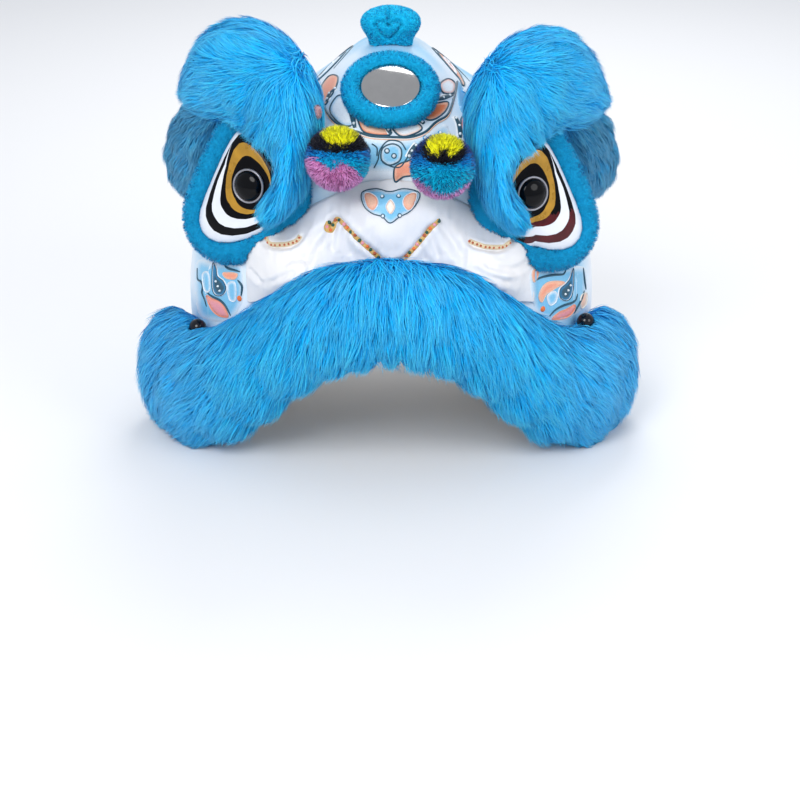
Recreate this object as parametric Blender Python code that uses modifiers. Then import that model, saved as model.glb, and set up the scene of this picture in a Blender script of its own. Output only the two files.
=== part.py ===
"""A lion dance head: a hollow padded shell that is worn over the head, with a fur lip, fur brows and ears,
a white satin nose, glossy eyes in plush frames, a convex mirror in a plush ring, a plush horn and two pompoms.

Metres, +Z up. The lion looks along -Y, and its left and right are those of somebody who looks at its face.
The head stands on the flat rim of the shell and on the two low ends of the lip.
"""

import math

import bmesh
import bpy
from mathutils import Matrix, Vector
from mathutils.bvhtree import BVHTree

# The shell: a padded skin on a frame, open below and behind, and open at the mouth.
SHELL_HALF_WIDTH = 0.276
SHELL_HEIGHT = 0.500
SHELL_FRONT = 0.205
SHELL_BACK = 0.285
SHELL_WALL = 0.004
SECTION_POWER = 0.85
MOUTH_HEIGHT = 0.37 * SHELL_HEIGHT
MOUTH_HALF_ANGLE = math.radians(60)
REAR_HEIGHT = 0.60 * SHELL_HEIGHT
REAR_HALF_ANGLE = math.radians(44)
CLEARANCE = 0.0003
CUTTER_GROWTH = 0.0005
BELOW_FLOOR = 0.060

# The nose: white padding on the shell between the lip and the forehead.
NOSE_HALF_WIDTH = 0.66 * SHELL_HALF_WIDTH
NOSE_LOW = 0.504 * SHELL_HEIGHT
NOSE_SIDE_LOW = 0.41 * SHELL_HEIGHT
NOSE_TOP = 0.744 * SHELL_HEIGHT
NOSE_SIDE_TOP = 0.584 * SHELL_HEIGHT
BRIDGE_PROUD = 0.030
NOSTRIL_PROUD = 0.047
NOSTRIL_X = 0.65 * NOSE_HALF_WIDTH
NOSTRIL_Z = 0.524 * SHELL_HEIGHT
NOSTRIL_SPREAD_X = 0.046
NOSTRIL_SPREAD_Z = 0.042
WEDGE_HALF_WIDTH = 0.060
WEDGE_TOP = 0.668 * SHELL_HEIGHT
WEDGE_TIP = 0.60 * SHELL_HEIGHT
WEDGE_STEP = 0.008
PAD_EDGE = 0.006

# The lip: one thick roll of fur round the front of the shell.
LIP_HALF_WIDTH_LEFT = SHELL_HALF_WIDTH + 0.016
LIP_HALF_WIDTH_RIGHT = SHELL_HALF_WIDTH + 0.008
LIP_CENTRE_HEIGHT = 0.458 * SHELL_HEIGHT
LIP_FRONT = SHELL_FRONT + 0.038
LIP_HALF_HEIGHT = 0.067
LIP_HALF_DEPTH = 0.055
LIP_LOCKS = 17

# The eyes: a glossy plate in a plush frame, with a rimmed pupil.
EYE_X = 0.632 * SHELL_HALF_WIDTH
EYE_HEIGHT = 0.704 * SHELL_HEIGHT
EYE_STANDOFF = 0.038
EYE_YAW = math.radians(25)
EYE_PITCH = math.radians(9)
EYE_PLATE_WIDTH = 0.062
EYE_PLATE_HEIGHT = 0.078
EYE_PLATE_CROWN = 0.008
EYE_FRAME_BORDER = 0.031
EYE_FRAME_CROWN = 0.007
EYE_BLOCK_DEPTH = 0.150
EYE_BLOCK_TAPER = 0.55
EYE_BLOCK_STRAIGHT = 0.012
EYE_BLOCK_INWARD = 0.035
EYE_BLOCK_DROP = 0.030
PUPIL_RADIUS = 0.0185
PUPIL_DOME = 0.009
PUPIL_EDGE = 0.001
PUPIL_RIM_RADIUS = 0.0238
PUPIL_RIM_HEIGHT = 0.0035

# The brows: an arch of fur round each eye, swept about a point above the pupil.
BROW_X = EYE_X + 0.0155
BROW_FRONT = SHELL_FRONT - 0.015
BROW_HEIGHT = EYE_HEIGHT + 0.046
BROW_REACH = 0.150
BROW_SWEEP_BACK = 0.120
BROW_HALF_DEPTH = 0.047
BROW_OUTWARD = 0.20
BROW_UPWARD = 0.10
BROW_LOCKS = 9

# The ears: a drooping leaf of fur on each side.
EAR_OUT = SHELL_HALF_WIDTH - 0.014
EAR_BACK = 0.048
EAR_HEIGHT = 0.676 * SHELL_HEIGHT
EAR_HALF_LENGTH = 0.066
EAR_HALF_WIDTH = 0.058
EAR_HALF_THICKNESS = 0.040
EAR_LOCKS = 6

# The forehead: a convex mirror in a plush ring, and the horn above it.
MIRROR_HEIGHT = 0.927 * SHELL_HEIGHT
MIRROR_TILT = math.radians(29)
MIRROR_RADIUS = 0.0375
MIRROR_CROWN = 0.010
MIRROR_RING_RADIUS = 0.0635
MIRROR_RING_HEIGHT = 0.013
RING_BACK_DEPTH = 0.045
HORN_BACK = 0.006
HORN_HALF_WIDTH = 0.040
HORN_HALF_DEPTH = 0.034
HORN_RISE = 0.051
HORN_SINK = 0.008

# The pompoms: each on a post that stands out of the forehead.
POMPOM_RADIUS = 0.040
POMPOM_X = 0.225 * SHELL_HALF_WIDTH
POMPOM_HEIGHT = 0.816 * SHELL_HEIGHT
POST_RADIUS = 0.003
POST_REACH = 0.040
POST_DEPTH_IN_POMPOM = 0.020
POST_DEPTH_IN_SHELL = 0.015

# The studs: a black ball on each end of the lip.
STUD_RADIUS = 0.0115
STUD_SHARE_LEFT = 0.765
STUD_SHARE_RIGHT = 0.800

# The small ball beside the left brow.
SMALL_BALL_X = BROW_X - 0.66 * BROW_REACH
SMALL_BALL_HEIGHT = BROW_HEIGHT + 0.40 * BROW_REACH
SMALL_BALL_RADIUS = 0.0055
SMALL_BALL_STRETCH = 1.6

# The fur: how far a lock stands out past the gap beside it, as a share of the roll's half-size.
LOCK_DEPTH = 0.15
RINGS_A_LOCK = 3
LIP_RING_POINTS = 12
SMALL_RING_POINTS = 10
OUTLINE_POINTS = 20
TURNED_STEPS = 24
PARTS = "lion_dance_head"
CUTTERS = "cutters"

BLUE_FUR = ((0.03, 0.36, 0.84, 1), 0.75, 0.0)
BLUE_PLUSH = ((0.0, 0.33, 0.66, 1), 0.8, 0.0)
WHITE_SATIN = ((0.86, 0.87, 0.9, 1), 0.4, 0.0)
PRINTED_SATIN = ((0.45, 0.72, 0.88, 1), 0.45, 0.0)
PLATE_GLOSS = ((0.86, 0.86, 0.84, 1), 0.12, 0.0)
BLACK_GLOSS = ((0.01, 0.01, 0.015, 1), 0.06, 0.0)
GREY_RIM = ((0.55, 0.55, 0.58, 1), 0.25, 0.0)
CHROME = ((0.8, 0.8, 0.8, 1), 0.05, 1.0)
POMPOM_FUR = ((0.02, 0.4, 0.75, 1), 0.85, 0.0)
STEEL = ((0.6, 0.6, 0.6, 1), 0.3, 1.0)
PALE_PINK = ((0.85, 0.55, 0.6, 1), 0.5, 0.0)

# The two sides differ a little: how much higher the eye and the pompom sit than their named heights, and how
# much farther out and higher the brow is.
SIDES = (
    {"label": "left", "side": -1, "rise": 0.004, "brow_out": 0.000, "brow_rise": 0.004},
    {"label": "right", "side": 1, "rise": -0.004, "brow_out": 0.008, "brow_rise": -0.006},
)
# Height, half-width, reach to the front and reach to the back, as shares of the shell's sizes.
SHELL_SECTIONS = (
    {"height": 0.00, "width": 0.95, "front": 0.96, "back": 0.97},
    {"height": 0.04, "width": 0.95, "front": 0.96, "back": 0.97},
    {"height": 0.20, "width": 0.99, "front": 0.95, "back": 1.00},
    {"height": 0.40, "width": 1.00, "front": 0.94, "back": 1.00},
    {"height": 0.56, "width": 0.92, "front": 0.90, "back": 0.98},
    {"height": 0.66, "width": 0.84, "front": 0.86, "back": 0.95},
    {"height": 0.74, "width": 0.73, "front": 0.80, "back": 0.90},
    {"height": 0.81, "width": 0.55, "front": 0.73, "back": 0.83},
    {"height": 0.87, "width": 0.36, "front": 0.63, "back": 0.73},
    {"height": 0.92, "width": 0.26, "front": 0.50, "back": 0.60},
    {"height": 0.96, "width": 0.18, "front": 0.36, "back": 0.43},
    {"height": 0.985, "width": 0.11, "front": 0.21, "back": 0.26},
)
# Distance from the middle of the lip to its end, then place and half-sizes as shares of the lip's sizes.
LIP_STATIONS = (
    {"along": 0.00, "x": 0.00, "front": 1.00, "height": 1.00, "tall": 0.98, "deep": 1.00},
    {"along": 0.25, "x": 0.27, "front": 0.98, "height": 0.92, "tall": 0.97, "deep": 1.00},
    {"along": 0.45, "x": 0.50, "front": 0.88, "height": 0.70, "tall": 0.90, "deep": 0.97},
    {"along": 0.62, "x": 0.70, "front": 0.72, "height": 0.46, "tall": 1.03, "deep": 0.95},
    {"along": 0.77, "x": 0.86, "front": 0.56, "height": 0.345, "tall": 1.28, "deep": 0.97},
    {"along": 0.89, "x": 0.97, "front": 0.37, "height": 0.345, "tall": 1.30, "deep": 0.92},
    {"along": 0.96, "x": 1.00, "front": 0.22, "height": 0.360, "tall": 1.06, "deep": 0.74},
    {"along": 1.00, "x": 1.00, "front": 0.15, "height": 0.365, "tall": 0.45, "deep": 0.35},
)
# From the lower end of the inner leg, over the eye, to the outer end. Turns are in degrees from straight
# outwards; the rest are shares of the brow's reach, its sweep to the back and its half-depth.
BROW_STATIONS = (
    {"along": 0.00, "turn": 240, "inner": 0.48, "outer": 0.57, "back": 0.00, "deep": 0.30},
    {"along": 0.05, "turn": 234, "inner": 0.42, "outer": 0.60, "back": 0.02, "deep": 0.60},
    {"along": 0.16, "turn": 212, "inner": 0.40, "outer": 0.61, "back": 0.08, "deep": 0.78},
    {"along": 0.32, "turn": 182, "inner": 0.36, "outer": 0.59, "back": 0.19, "deep": 0.92},
    {"along": 0.48, "turn": 148, "inner": 0.20, "outer": 0.78, "back": 0.34, "deep": 1.06},
    {"along": 0.64, "turn": 114, "inner": 0.14, "outer": 0.98, "back": 0.50, "deep": 1.16},
    {"along": 0.78, "turn": 83, "inner": 0.14, "outer": 1.03, "back": 0.65, "deep": 1.12},
    {"along": 0.90, "turn": 55, "inner": 0.20, "outer": 0.88, "back": 0.80, "deep": 0.94},
    {"along": 0.97, "turn": 35, "inner": 0.32, "outer": 0.75, "back": 0.88, "deep": 0.68},
    {"along": 1.00, "turn": 29, "inner": 0.43, "outer": 0.66, "back": 0.90, "deep": 0.32},
)
# From the root to the tip of an ear: rise above and reach beyond its middle, as shares of its half-sizes.
EAR_STATIONS = (
    {"along": 0.00, "out": -0.75, "rise": 0.98, "back": -0.10, "wide": 0.35, "thick": 0.35},
    {"along": 0.10, "out": -0.60, "rise": 0.80, "back": -0.06, "wide": 0.78, "thick": 0.74},
    {"along": 0.35, "out": -0.22, "rise": 0.38, "back": 0.00, "wide": 1.00, "thick": 0.98},
    {"along": 0.65, "out": 0.02, "rise": -0.20, "back": 0.08, "wide": 0.95, "thick": 1.00},
    {"along": 0.88, "out": 0.02, "rise": -0.72, "back": 0.14, "wide": 0.66, "thick": 0.72},
    {"along": 1.00, "out": -0.02, "rise": -1.00, "back": 0.16, "wide": 0.25, "thick": 0.28},
)
# The eye plate's outline, outward and upward from the pupil, as shares of the plate's width and height.
EYE_OUTLINE = (
    {"out": 0.34, "up": 0.86},
    {"out": 0.62, "up": 0.54},
    {"out": 0.90, "up": 0.04},
    {"out": 1.15, "up": -0.46},
    {"out": 1.20, "up": -0.74},
    {"out": 1.04, "up": -0.96},
    {"out": 0.66, "up": -1.02},
    {"out": 0.16, "up": -0.91},
    {"out": -0.34, "up": -0.67},
    {"out": -0.70, "up": -0.28},
    {"out": -0.70, "up": 0.14},
    {"out": -0.34, "up": 0.58},
    {"out": 0.08, "up": 0.84},
)
# Rings of the plate from its rim to its middle: scale of the outline about the pupil, and share of the crown.
PLATE_RINGS = (
    {"scale": 1.00, "crown": 0.00},
    {"scale": 0.93, "crown": 0.42},
    {"scale": 0.82, "crown": 0.78},
    {"scale": 0.68, "crown": 1.00},
)
# Rings of the frame from its inner to its outer edge: share of the border, and share of the crown.
FRAME_RINGS = (
    {"border": 0.00, "crown": 0.25},
    {"border": 0.18, "crown": 0.90},
    {"border": 0.48, "crown": 1.00},
    {"border": 0.80, "crown": 0.35},
    {"border": 1.00, "crown": -1.20},
)
# The horn from its foot to its top: share of the rise, and half-sizes as shares of the bulb's.
HORN_RINGS = (
    {"rise": -0.30, "wide": 0.72, "deep": 0.80, "lean": 0.0},
    {"rise": 0.10, "wide": 0.70, "deep": 0.78, "lean": 0.0},
    {"rise": 0.26, "wide": 0.76, "deep": 0.82, "lean": 0.02},
    {"rise": 0.42, "wide": 0.92, "deep": 0.93, "lean": 0.06},
    {"rise": 0.60, "wide": 1.00, "deep": 1.00, "lean": 0.10},
    {"rise": 0.78, "wide": 0.92, "deep": 0.90, "lean": 0.12},
    {"rise": 0.92, "wide": 0.66, "deep": 0.62, "lean": 0.12},
    {"rise": 1.00, "wide": 0.26, "deep": 0.24, "lean": 0.12},
)


def clear_scene():
    for obj in list(bpy.data.objects):
        bpy.data.objects.remove(obj)


def new_collection(name):
    collection = bpy.data.collections.new(name)
    bpy.context.scene.collection.children.link(collection)
    return collection


def material(name, finish):
    colour, roughness, metallic = finish
    made = bpy.data.materials.new(name)
    made.use_nodes = True
    shader = made.node_tree.nodes["Principled BSDF"]
    shader.inputs["Base Color"].default_value = colour
    shader.inputs["Roughness"].default_value = roughness
    shader.inputs["Metallic"].default_value = metallic
    return made


def add_part(name, mesh, finish, root):
    obj = bpy.data.objects.new(name, mesh)
    mesh.materials.append(material(name, finish))
    mesh.shade_smooth()
    bpy.data.collections[PARTS].objects.link(obj)
    obj.parent = root
    return obj


def mesh_from(name, points, faces):
    """A mesh with its faces turned outwards. A list with a negative volume was wound the other way round."""
    mesh = bpy.data.meshes.new(name)
    mesh.from_pydata([tuple(p) for p in points], [], faces)
    build = bmesh.new()
    build.from_mesh(mesh)
    bmesh.ops.recalc_face_normals(build, faces=build.faces)
    if build.calc_volume(signed=True) < 0:
        bmesh.ops.reverse_faces(build, faces=build.faces)
    # A piece and the cutter made from it share these triangles, so their faces stay parallel.
    bmesh.ops.triangulate(build, faces=build.faces, quad_method="FIXED")
    build.to_mesh(mesh)
    build.free()
    return mesh


def loft(name, rings):
    """A closed mesh through rings of as many points each, with a fan of faces over each end."""
    count = len(rings[0])
    points = [point for ring in rings for point in ring]
    faces = []
    for row in range(len(rings) - 1):
        for k in range(count):
            a, b = row * count + k, row * count + (k + 1) % count
            faces.append((a, b, b + count, a + count))
    for first in (0, (len(rings) - 1) * count):
        middle = sum((Vector(p) for p in points[first : first + count]), Vector()) / count
        points.append(middle)
        faces += [(first + (k + 1) % count, first + k, len(points) - 1) for k in range(count)]
    return mesh_from(name, points, faces)


def grown(name, mesh, growth, root):
    """A cutter: the mesh with each point moved outwards along its normal."""
    copy = mesh.copy()
    build = bmesh.new()
    build.from_mesh(copy)
    build.normal_update()
    shifts = [(v, v.normal * growth) for v in build.verts]
    for vertex, shift in shifts:
        vertex.co += shift
    build.to_mesh(copy)
    build.free()
    cutter = bpy.data.objects.new(name, copy)
    bpy.data.collections[CUTTERS].objects.link(cutter)
    cutter.hide_render = True
    cutter.display_type = "WIRE"
    cutter.parent = root
    return cutter


def cut(obj, *cutters):
    for cutter in cutters:
        modifier = obj.modifiers.new(f"clear_{cutter.name}", "BOOLEAN")
        modifier.operation = "DIFFERENCE"
        modifier.object = cutter


def eased(rows, key, value, column):
    """The column's value at a place among the rows, on a smooth curve through them."""
    places = [row[key] for row in rows]
    if value <= places[0]:
        return rows[0][column]
    if value >= places[-1]:
        return rows[-1][column]
    k = max(i for i, place in enumerate(places) if place <= value)
    span = places[k + 1] - places[k]
    t = (value - places[k]) / span
    low, high = rows[k][column], rows[k + 1][column]

    def slope(i):
        before, after = max(i - 1, 0), min(i + 1, len(rows) - 1)
        return (rows[after][column] - rows[before][column]) / (places[after] - places[before])

    start, end = slope(k) * span, slope(k + 1) * span
    return (
        (2 * t**3 - 3 * t**2 + 1) * low
        + (t**3 - 2 * t**2 + t) * start
        + (3 * t**2 - 2 * t**3) * high
        + (t**3 - t**2) * end
    )


def signed_power(value, power):
    return math.copysign(abs(value) ** power, value)


def shell_point(angle, height):
    """A point of the shell's outer face. Angle 0 is the middle of the face, and a quarter turn is the right side."""
    share = max(height / SHELL_HEIGHT, 0.0)
    half_width = SHELL_HALF_WIDTH * eased(SHELL_SECTIONS, "height", share, "width")
    cosine = signed_power(math.cos(angle), SECTION_POWER)
    if cosine > 0:
        reach = -SHELL_FRONT * eased(SHELL_SECTIONS, "height", share, "front")
    else:
        reach = -SHELL_BACK * eased(SHELL_SECTIONS, "height", share, "back")
    return Vector((half_width * signed_power(math.sin(angle), SECTION_POWER), reach * cosine, height))


def shell_columns():
    """The angle of each column of the shell and the height of the rim there, once round the head."""
    half_mouth, half_side, half_rear = 6, 6, 4
    front = [
        (MOUTH_HALF_ANGLE * math.sin(math.pi / 2 * k / half_mouth), MOUTH_HEIGHT * math.cos(math.pi / 2 * k / half_mouth))
        for k in range(-half_mouth, half_mouth + 1)
    ]
    rear = [
        (math.pi + REAR_HALF_ANGLE * math.sin(math.pi / 2 * k / half_rear), REAR_HEIGHT * math.cos(math.pi / 2 * k / half_rear))
        for k in range(-half_rear, half_rear + 1)
    ]
    start, end = MOUTH_HALF_ANGLE, math.pi - REAR_HALF_ANGLE
    right = [(start + (end - start) * k / half_side, 0.0) for k in range(1, half_side)]
    left = [(2 * math.pi - angle, 0.0) for angle, _ in reversed(right)]
    return front + right + rear + left


def shell_grid(extra_rows=()):
    """Points and triangles of the shell's outer face, from the rim or from below it up to the crown."""
    shares = [row["height"] for row in SHELL_SECTIONS]
    columns = shell_columns()
    points = []
    for below in extra_rows:
        points += [shell_point(angle, below) for angle, _ in columns]
    for share in shares:
        for angle, rim in columns:
            points.append(shell_point(angle, rim + (SHELL_HEIGHT - rim) * share))
    rows = len(extra_rows) + len(shares)
    count = len(columns)
    faces = []
    for row in range(rows - 1):
        for k in range(count):
            a, b = row * count + k, row * count + (k + 1) % count
            if math.sin(columns[k][0]) + math.sin(columns[(k + 1) % count][0]) > 0:
                faces.append((a, b, a + count))
                faces.append((b, b + count, a + count))
            else:
                faces.append((a, b, b + count))
                faces.append((a, b + count, a + count))
    points.append(Vector((0, 0, SHELL_HEIGHT)))
    crown = len(points) - 1
    top = (rows - 1) * count
    faces += [(top + k, top + (k + 1) % count, crown) for k in range(count)]
    if extra_rows:
        points.append(Vector((0, 0, extra_rows[0])))
        faces += [((k + 1) % count, k, len(points) - 1) for k in range(count)]
    return points, faces


def make_shell(root):
    points, faces = shell_grid()
    mesh = bpy.data.meshes.new("head_shell")
    mesh.from_pydata([tuple(p) for p in points], [], faces)
    shell = add_part("head_shell", mesh, PRINTED_SATIN, root)
    wall = shell.modifiers.new("wall", "SOLIDIFY")
    wall.thickness = SHELL_WALL
    wall.offset = -1
    return shell


class Surface:
    """The outer face of the shell, or of a piece, that others are seated on."""

    def __init__(self, points, faces):
        self.tree = BVHTree.FromPolygons([tuple(p) for p in points], faces)

    def from_front(self, x, height):
        hit, normal, _, _ = self.tree.ray_cast(Vector((x, -1, height)), Vector((0, 1, 0)))
        return hit, -normal if normal.y > 0 else normal

    def from_above(self, x, y):
        hit, _, _, _ = self.tree.ray_cast(Vector((x, y, 1)), Vector((0, 0, -1)))
        return hit

    def along(self, start, direction):
        hit, _, _, _ = self.tree.ray_cast(start, direction)
        return hit


def face_of(obj):
    """The surface of a piece before anything is cut from it."""
    mesh = obj.data
    return Surface([v.co.copy() for v in mesh.vertices], [tuple(p.vertices) for p in mesh.polygons])


def bell(value, middle, spread):
    return math.exp(-(((value - middle) / spread) ** 2))


def wedge_share(x, height):
    """1 inside the wedge of the nose, which narrows down to a tip, and 0 outside it, with a soft step."""
    share = (height - WEDGE_TIP) / (WEDGE_TOP - WEDGE_TIP)
    half = WEDGE_HALF_WIDTH * min(max(share, 0.0), 1.0)
    step = (half - abs(x)) / WEDGE_STEP + 0.5
    return min(max(step, 0.0), 1.0)


def nose_padding(x, height, top):
    """How far the nose stands proud of the shell."""
    edge_x = min((NOSE_HALF_WIDTH - abs(x)) / 0.024, 1.0)
    edge_z = min((top - height) / 0.022, 1.0)
    fade = math.sin(math.pi / 2 * max(min(edge_x, edge_z), 0.0))
    share = (height - NOSE_SIDE_LOW) / (NOSE_TOP - NOSE_SIDE_LOW)
    bridge = BRIDGE_PROUD * (1.1 - 0.65 * share) * bell(x, 0, 0.075)
    nostril = NOSTRIL_PROUD * bell(abs(x), NOSTRIL_X, NOSTRIL_SPREAD_X) * bell(height, NOSTRIL_Z, NOSTRIL_SPREAD_Z)
    wedge = 0.009 * wedge_share(x, height)
    return PAD_EDGE + fade * (bridge + nostril + wedge)


def nose_low(x):
    return NOSE_LOW + (NOSE_SIDE_LOW - NOSE_LOW) * min(abs(x) / NOSE_HALF_WIDTH, 1.0) ** 1.4


def nose_top(x):
    side = abs(x) / NOSE_HALF_WIDTH
    return NOSE_SIDE_TOP + (NOSE_TOP - NOSE_SIDE_TOP) * math.cos(math.pi / 2 * min(side, 1.0)) ** 1.6


def nose_mesh(shell_face):
    """The nose before the shell is cut from it: a grid of padding in front of a flat back."""
    across, up = 22, 8
    back = -SHELL_FRONT * 0.30
    rings = []
    for j in range(up + 1):
        ring = []
        for i in range(across + 1):
            x = NOSE_HALF_WIDTH * (2 * i / across - 1)
            height = nose_low(x) + (nose_top(x) - nose_low(x)) * j / up
            seat, _ = shell_face.from_front(x, height)
            ring.append(Vector((x, seat.y - nose_padding(x, height, nose_top(x)), height)))
        ends = (ring[-1], ring[0])
        ring += [Vector((end.x, back, end.z)) for end in ends]
        rings.append(ring)
    return loft_between("nose", rings)


def loft_between(name, rings):
    """A closed mesh through rings whose ends are strips: each end is closed by quads from the front to the back."""
    count = len(rings[0])
    points = [point for ring in rings for point in ring]
    faces = []
    for row in range(len(rings) - 1):
        for k in range(count):
            a, b = row * count + k, row * count + (k + 1) % count
            faces.append((a, b, b + count, a + count))
    for first in (0, (len(rings) - 1) * count):
        faces.append(tuple(first + k for k in range(count)))
    return mesh_from(name, points, faces)


def eased_ends(place):
    """A place from 0 to 1 along a roll of fur, drawn towards its ends, which are round."""
    return 0.6 * place + 0.4 * (0.5 - 0.5 * math.cos(math.pi * place))


def lock_ring(centre, up, out, half_height, half_depth, lock_place, tip_turn, count):
    """One ring of a roll of fur. It is wider through a lock than between two, most of all at tip_turn."""
    lock = abs(math.sin(math.pi * lock_place))
    ring = []
    for i in range(count):
        turn = 2 * math.pi * i / count
        girth = 1 + LOCK_DEPTH * (0.5 + 0.5 * math.cos(turn - tip_turn)) * (lock - 0.6)
        ring.append(centre + up * (half_height * girth * math.cos(turn)) + out * (half_depth * girth * math.sin(turn)))
    return ring


def fur_roll(name, side, centres, outs, half_heights, half_depths, tip_turn, count):
    """A roll of fur along a path, with a ring across the path at each place."""
    rings = []
    last = len(centres) - 1
    for k, centre in enumerate(centres):
        along = (centres[min(k + 1, last)] - centres[max(k - 1, 0)]).normalized()
        out = (outs[k] - along * outs[k].dot(along)).normalized()
        up = out.cross(along).normalized() * side
        rings.append(lock_ring(centre, up, out, half_heights[k], half_depths[k], k / RINGS_A_LOCK, tip_turn, count))
    for ring in rings:
        for point in ring:
            point.z = max(point.z, 0.0)
    return loft(name, rings)


def lip_point(side, at):
    """The middle of the lip where its columns have the values that at() gives."""
    half_width = LIP_HALF_WIDTH_LEFT if side < 0 else LIP_HALF_WIDTH_RIGHT
    return Vector((side * half_width * at("x"), -LIP_FRONT * at("front"), LIP_CENTRE_HEIGHT * at("height")))


def lip_mesh():
    """The lip from its left end to its right end. Its rings turn from facing forwards to facing outwards."""
    count = RINGS_A_LOCK * LIP_LOCKS + 1
    centres, outs, tall, deep = [], [], [], []
    for k in range(count):
        place = 2 * eased_ends(k / (count - 1)) - 1
        along = abs(place)
        side = math.copysign(1, place)

        def at(column, along=along):
            return eased(LIP_STATIONS, "along", along, column)

        centres.append(lip_point(side, at))
        tall.append(LIP_HALF_HEIGHT * at("tall"))
        deep.append(LIP_HALF_DEPTH * at("deep"))
    for k in range(count):
        along = centres[min(k + 1, count - 1)] - centres[max(k - 1, 0)]
        outs.append(along.cross(Vector((0, 0, 1))).normalized())
    return fur_roll("lip_fur", 1, centres, outs, tall, deep, math.pi, LIP_RING_POINTS)


def brow_mesh(name, side, outwards_by, rise):
    """Rings that fan out round the eye. Their locks end on the side of the eye."""
    facing = Vector((side * BROW_OUTWARD, -1, BROW_UPWARD)).normalized()
    outwards = (Vector((side, 0, 0)) - facing * facing.x * side).normalized()
    upwards = facing.cross(outwards) * side
    pivot = Vector((side * (BROW_X + outwards_by), -BROW_FRONT, BROW_HEIGHT + rise))
    count = RINGS_A_LOCK * BROW_LOCKS + 1
    rings = []
    for k in range(count):
        along = eased_ends(k / (count - 1))
        turn = math.radians(eased(BROW_STATIONS, "along", along, "turn"))
        inner = BROW_REACH * eased(BROW_STATIONS, "along", along, "inner")
        outer = BROW_REACH * eased(BROW_STATIONS, "along", along, "outer")
        back = BROW_SWEEP_BACK * eased(BROW_STATIONS, "along", along, "back")
        deep = BROW_HALF_DEPTH * eased(BROW_STATIONS, "along", along, "deep")
        radial = outwards * math.cos(turn) + upwards * math.sin(turn)
        centre = pivot + radial * (inner + outer) / 2 - facing * back
        rings.append(lock_ring(centre, radial, facing, (outer - inner) / 2, deep, k / RINGS_A_LOCK, math.pi, SMALL_RING_POINTS))
    return loft(name, rings)


def ear_mesh(name, side):
    count = RINGS_A_LOCK * EAR_LOCKS + 1
    centres, wide, thick = [], [], []
    for k in range(count):

        def at(column, along=eased_ends(k / (count - 1))):
            return eased(EAR_STATIONS, "along", along, column)

        centres.append(
            Vector(
                (
                    side * (EAR_OUT + EAR_HALF_THICKNESS * at("out")),
                    EAR_BACK + EAR_HALF_WIDTH * at("back"),
                    EAR_HEIGHT + EAR_HALF_LENGTH * at("rise"),
                )
            )
        )
        wide.append(EAR_HALF_WIDTH * at("wide"))
        thick.append(EAR_HALF_THICKNESS * at("thick"))
    outs = [Vector((side, 0, 0))] * count
    return fur_roll(name, side, centres, outs, wide, thick, math.pi / 2, SMALL_RING_POINTS)


def closed_curve(rows, scale_out, scale_up, count):
    """A smooth closed outline through the rows, as pairs of outward and upward distances."""
    size = len(rows)
    outline = []
    for k in range(count):
        place = k * size / count
        i, t = int(place), place - int(place)
        corners = [rows[(i + step) % size] for step in (-1, 0, 1, 2)]
        pair = []
        for column, scale in (("out", scale_out), ("up", scale_up)):
            a, b, c, d = (corner[column] for corner in corners)
            value = 0.5 * (2 * b + (c - a) * t + (2 * a - 5 * b + 4 * c - d) * t * t + (3 * b - a - 3 * c + d) * t**3)
            pair.append(scale * value)
        outline.append(pair)
    return outline


def outset(outline, distance):
    """The outline moved outwards by a distance, along the bisector at each point."""
    moved = []
    count = len(outline)
    for k, (out, up) in enumerate(outline):
        before, after = outline[k - 1], outline[(k + 1) % count]
        tangent = Vector((after[0] - before[0], after[1] - before[1])).normalized()
        # The outline runs clockwise, so its outside is to the left.
        moved.append([out - tangent.y * distance, up + tangent.x * distance])
    return moved


class EyeFrame:
    """The plane of one eye: its middle on the pupil, and its outward, upward and facing directions."""

    def __init__(self, shell_face, side, rise):
        seat, _ = shell_face.from_front(side * EYE_X, EYE_HEIGHT + rise)
        self.facing = Vector(
            (
                side * math.sin(EYE_YAW) * math.cos(EYE_PITCH),
                -math.cos(EYE_YAW) * math.cos(EYE_PITCH),
                math.sin(EYE_PITCH),
            )
        )
        self.out = Vector((side * math.cos(EYE_YAW), math.sin(EYE_YAW), 0))
        self.up = self.facing.cross(self.out) * side
        self.middle = seat + Vector((0, -EYE_STANDOFF, 0))

    def point(self, out, up, rise):
        return self.middle + self.out * out + self.up * up + self.facing * rise

    def matrix(self, rise):
        middle = self.middle + self.facing * rise
        right = self.up.cross(self.facing)
        return Matrix.Translation(middle) @ Matrix((right, self.up, self.facing)).transposed().to_4x4()


def block_end(eye, outline):
    """The back end of an eye's block. It is smaller than the outline, lower and nearer the middle of the head."""
    end = []
    for out, up in outline:
        moved_out = out * EYE_BLOCK_TAPER - EYE_BLOCK_INWARD
        moved_up = up * EYE_BLOCK_TAPER - EYE_BLOCK_DROP
        end.append(eye.point(moved_out, moved_up, -EYE_BLOCK_DEPTH))
    return end


def plate_mesh(name, eye):
    outline = closed_curve(EYE_OUTLINE, EYE_PLATE_WIDTH, EYE_PLATE_HEIGHT, OUTLINE_POINTS)
    rings = [block_end(eye, outline), [eye.point(out, up, -EYE_BLOCK_STRAIGHT) for out, up in outline]]
    for row in PLATE_RINGS:
        rise = EYE_PLATE_CROWN * (row["crown"] - 1)
        rings.append([eye.point(out * row["scale"], up * row["scale"], rise) for out, up in outline])
    return loft(name, rings)


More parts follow.
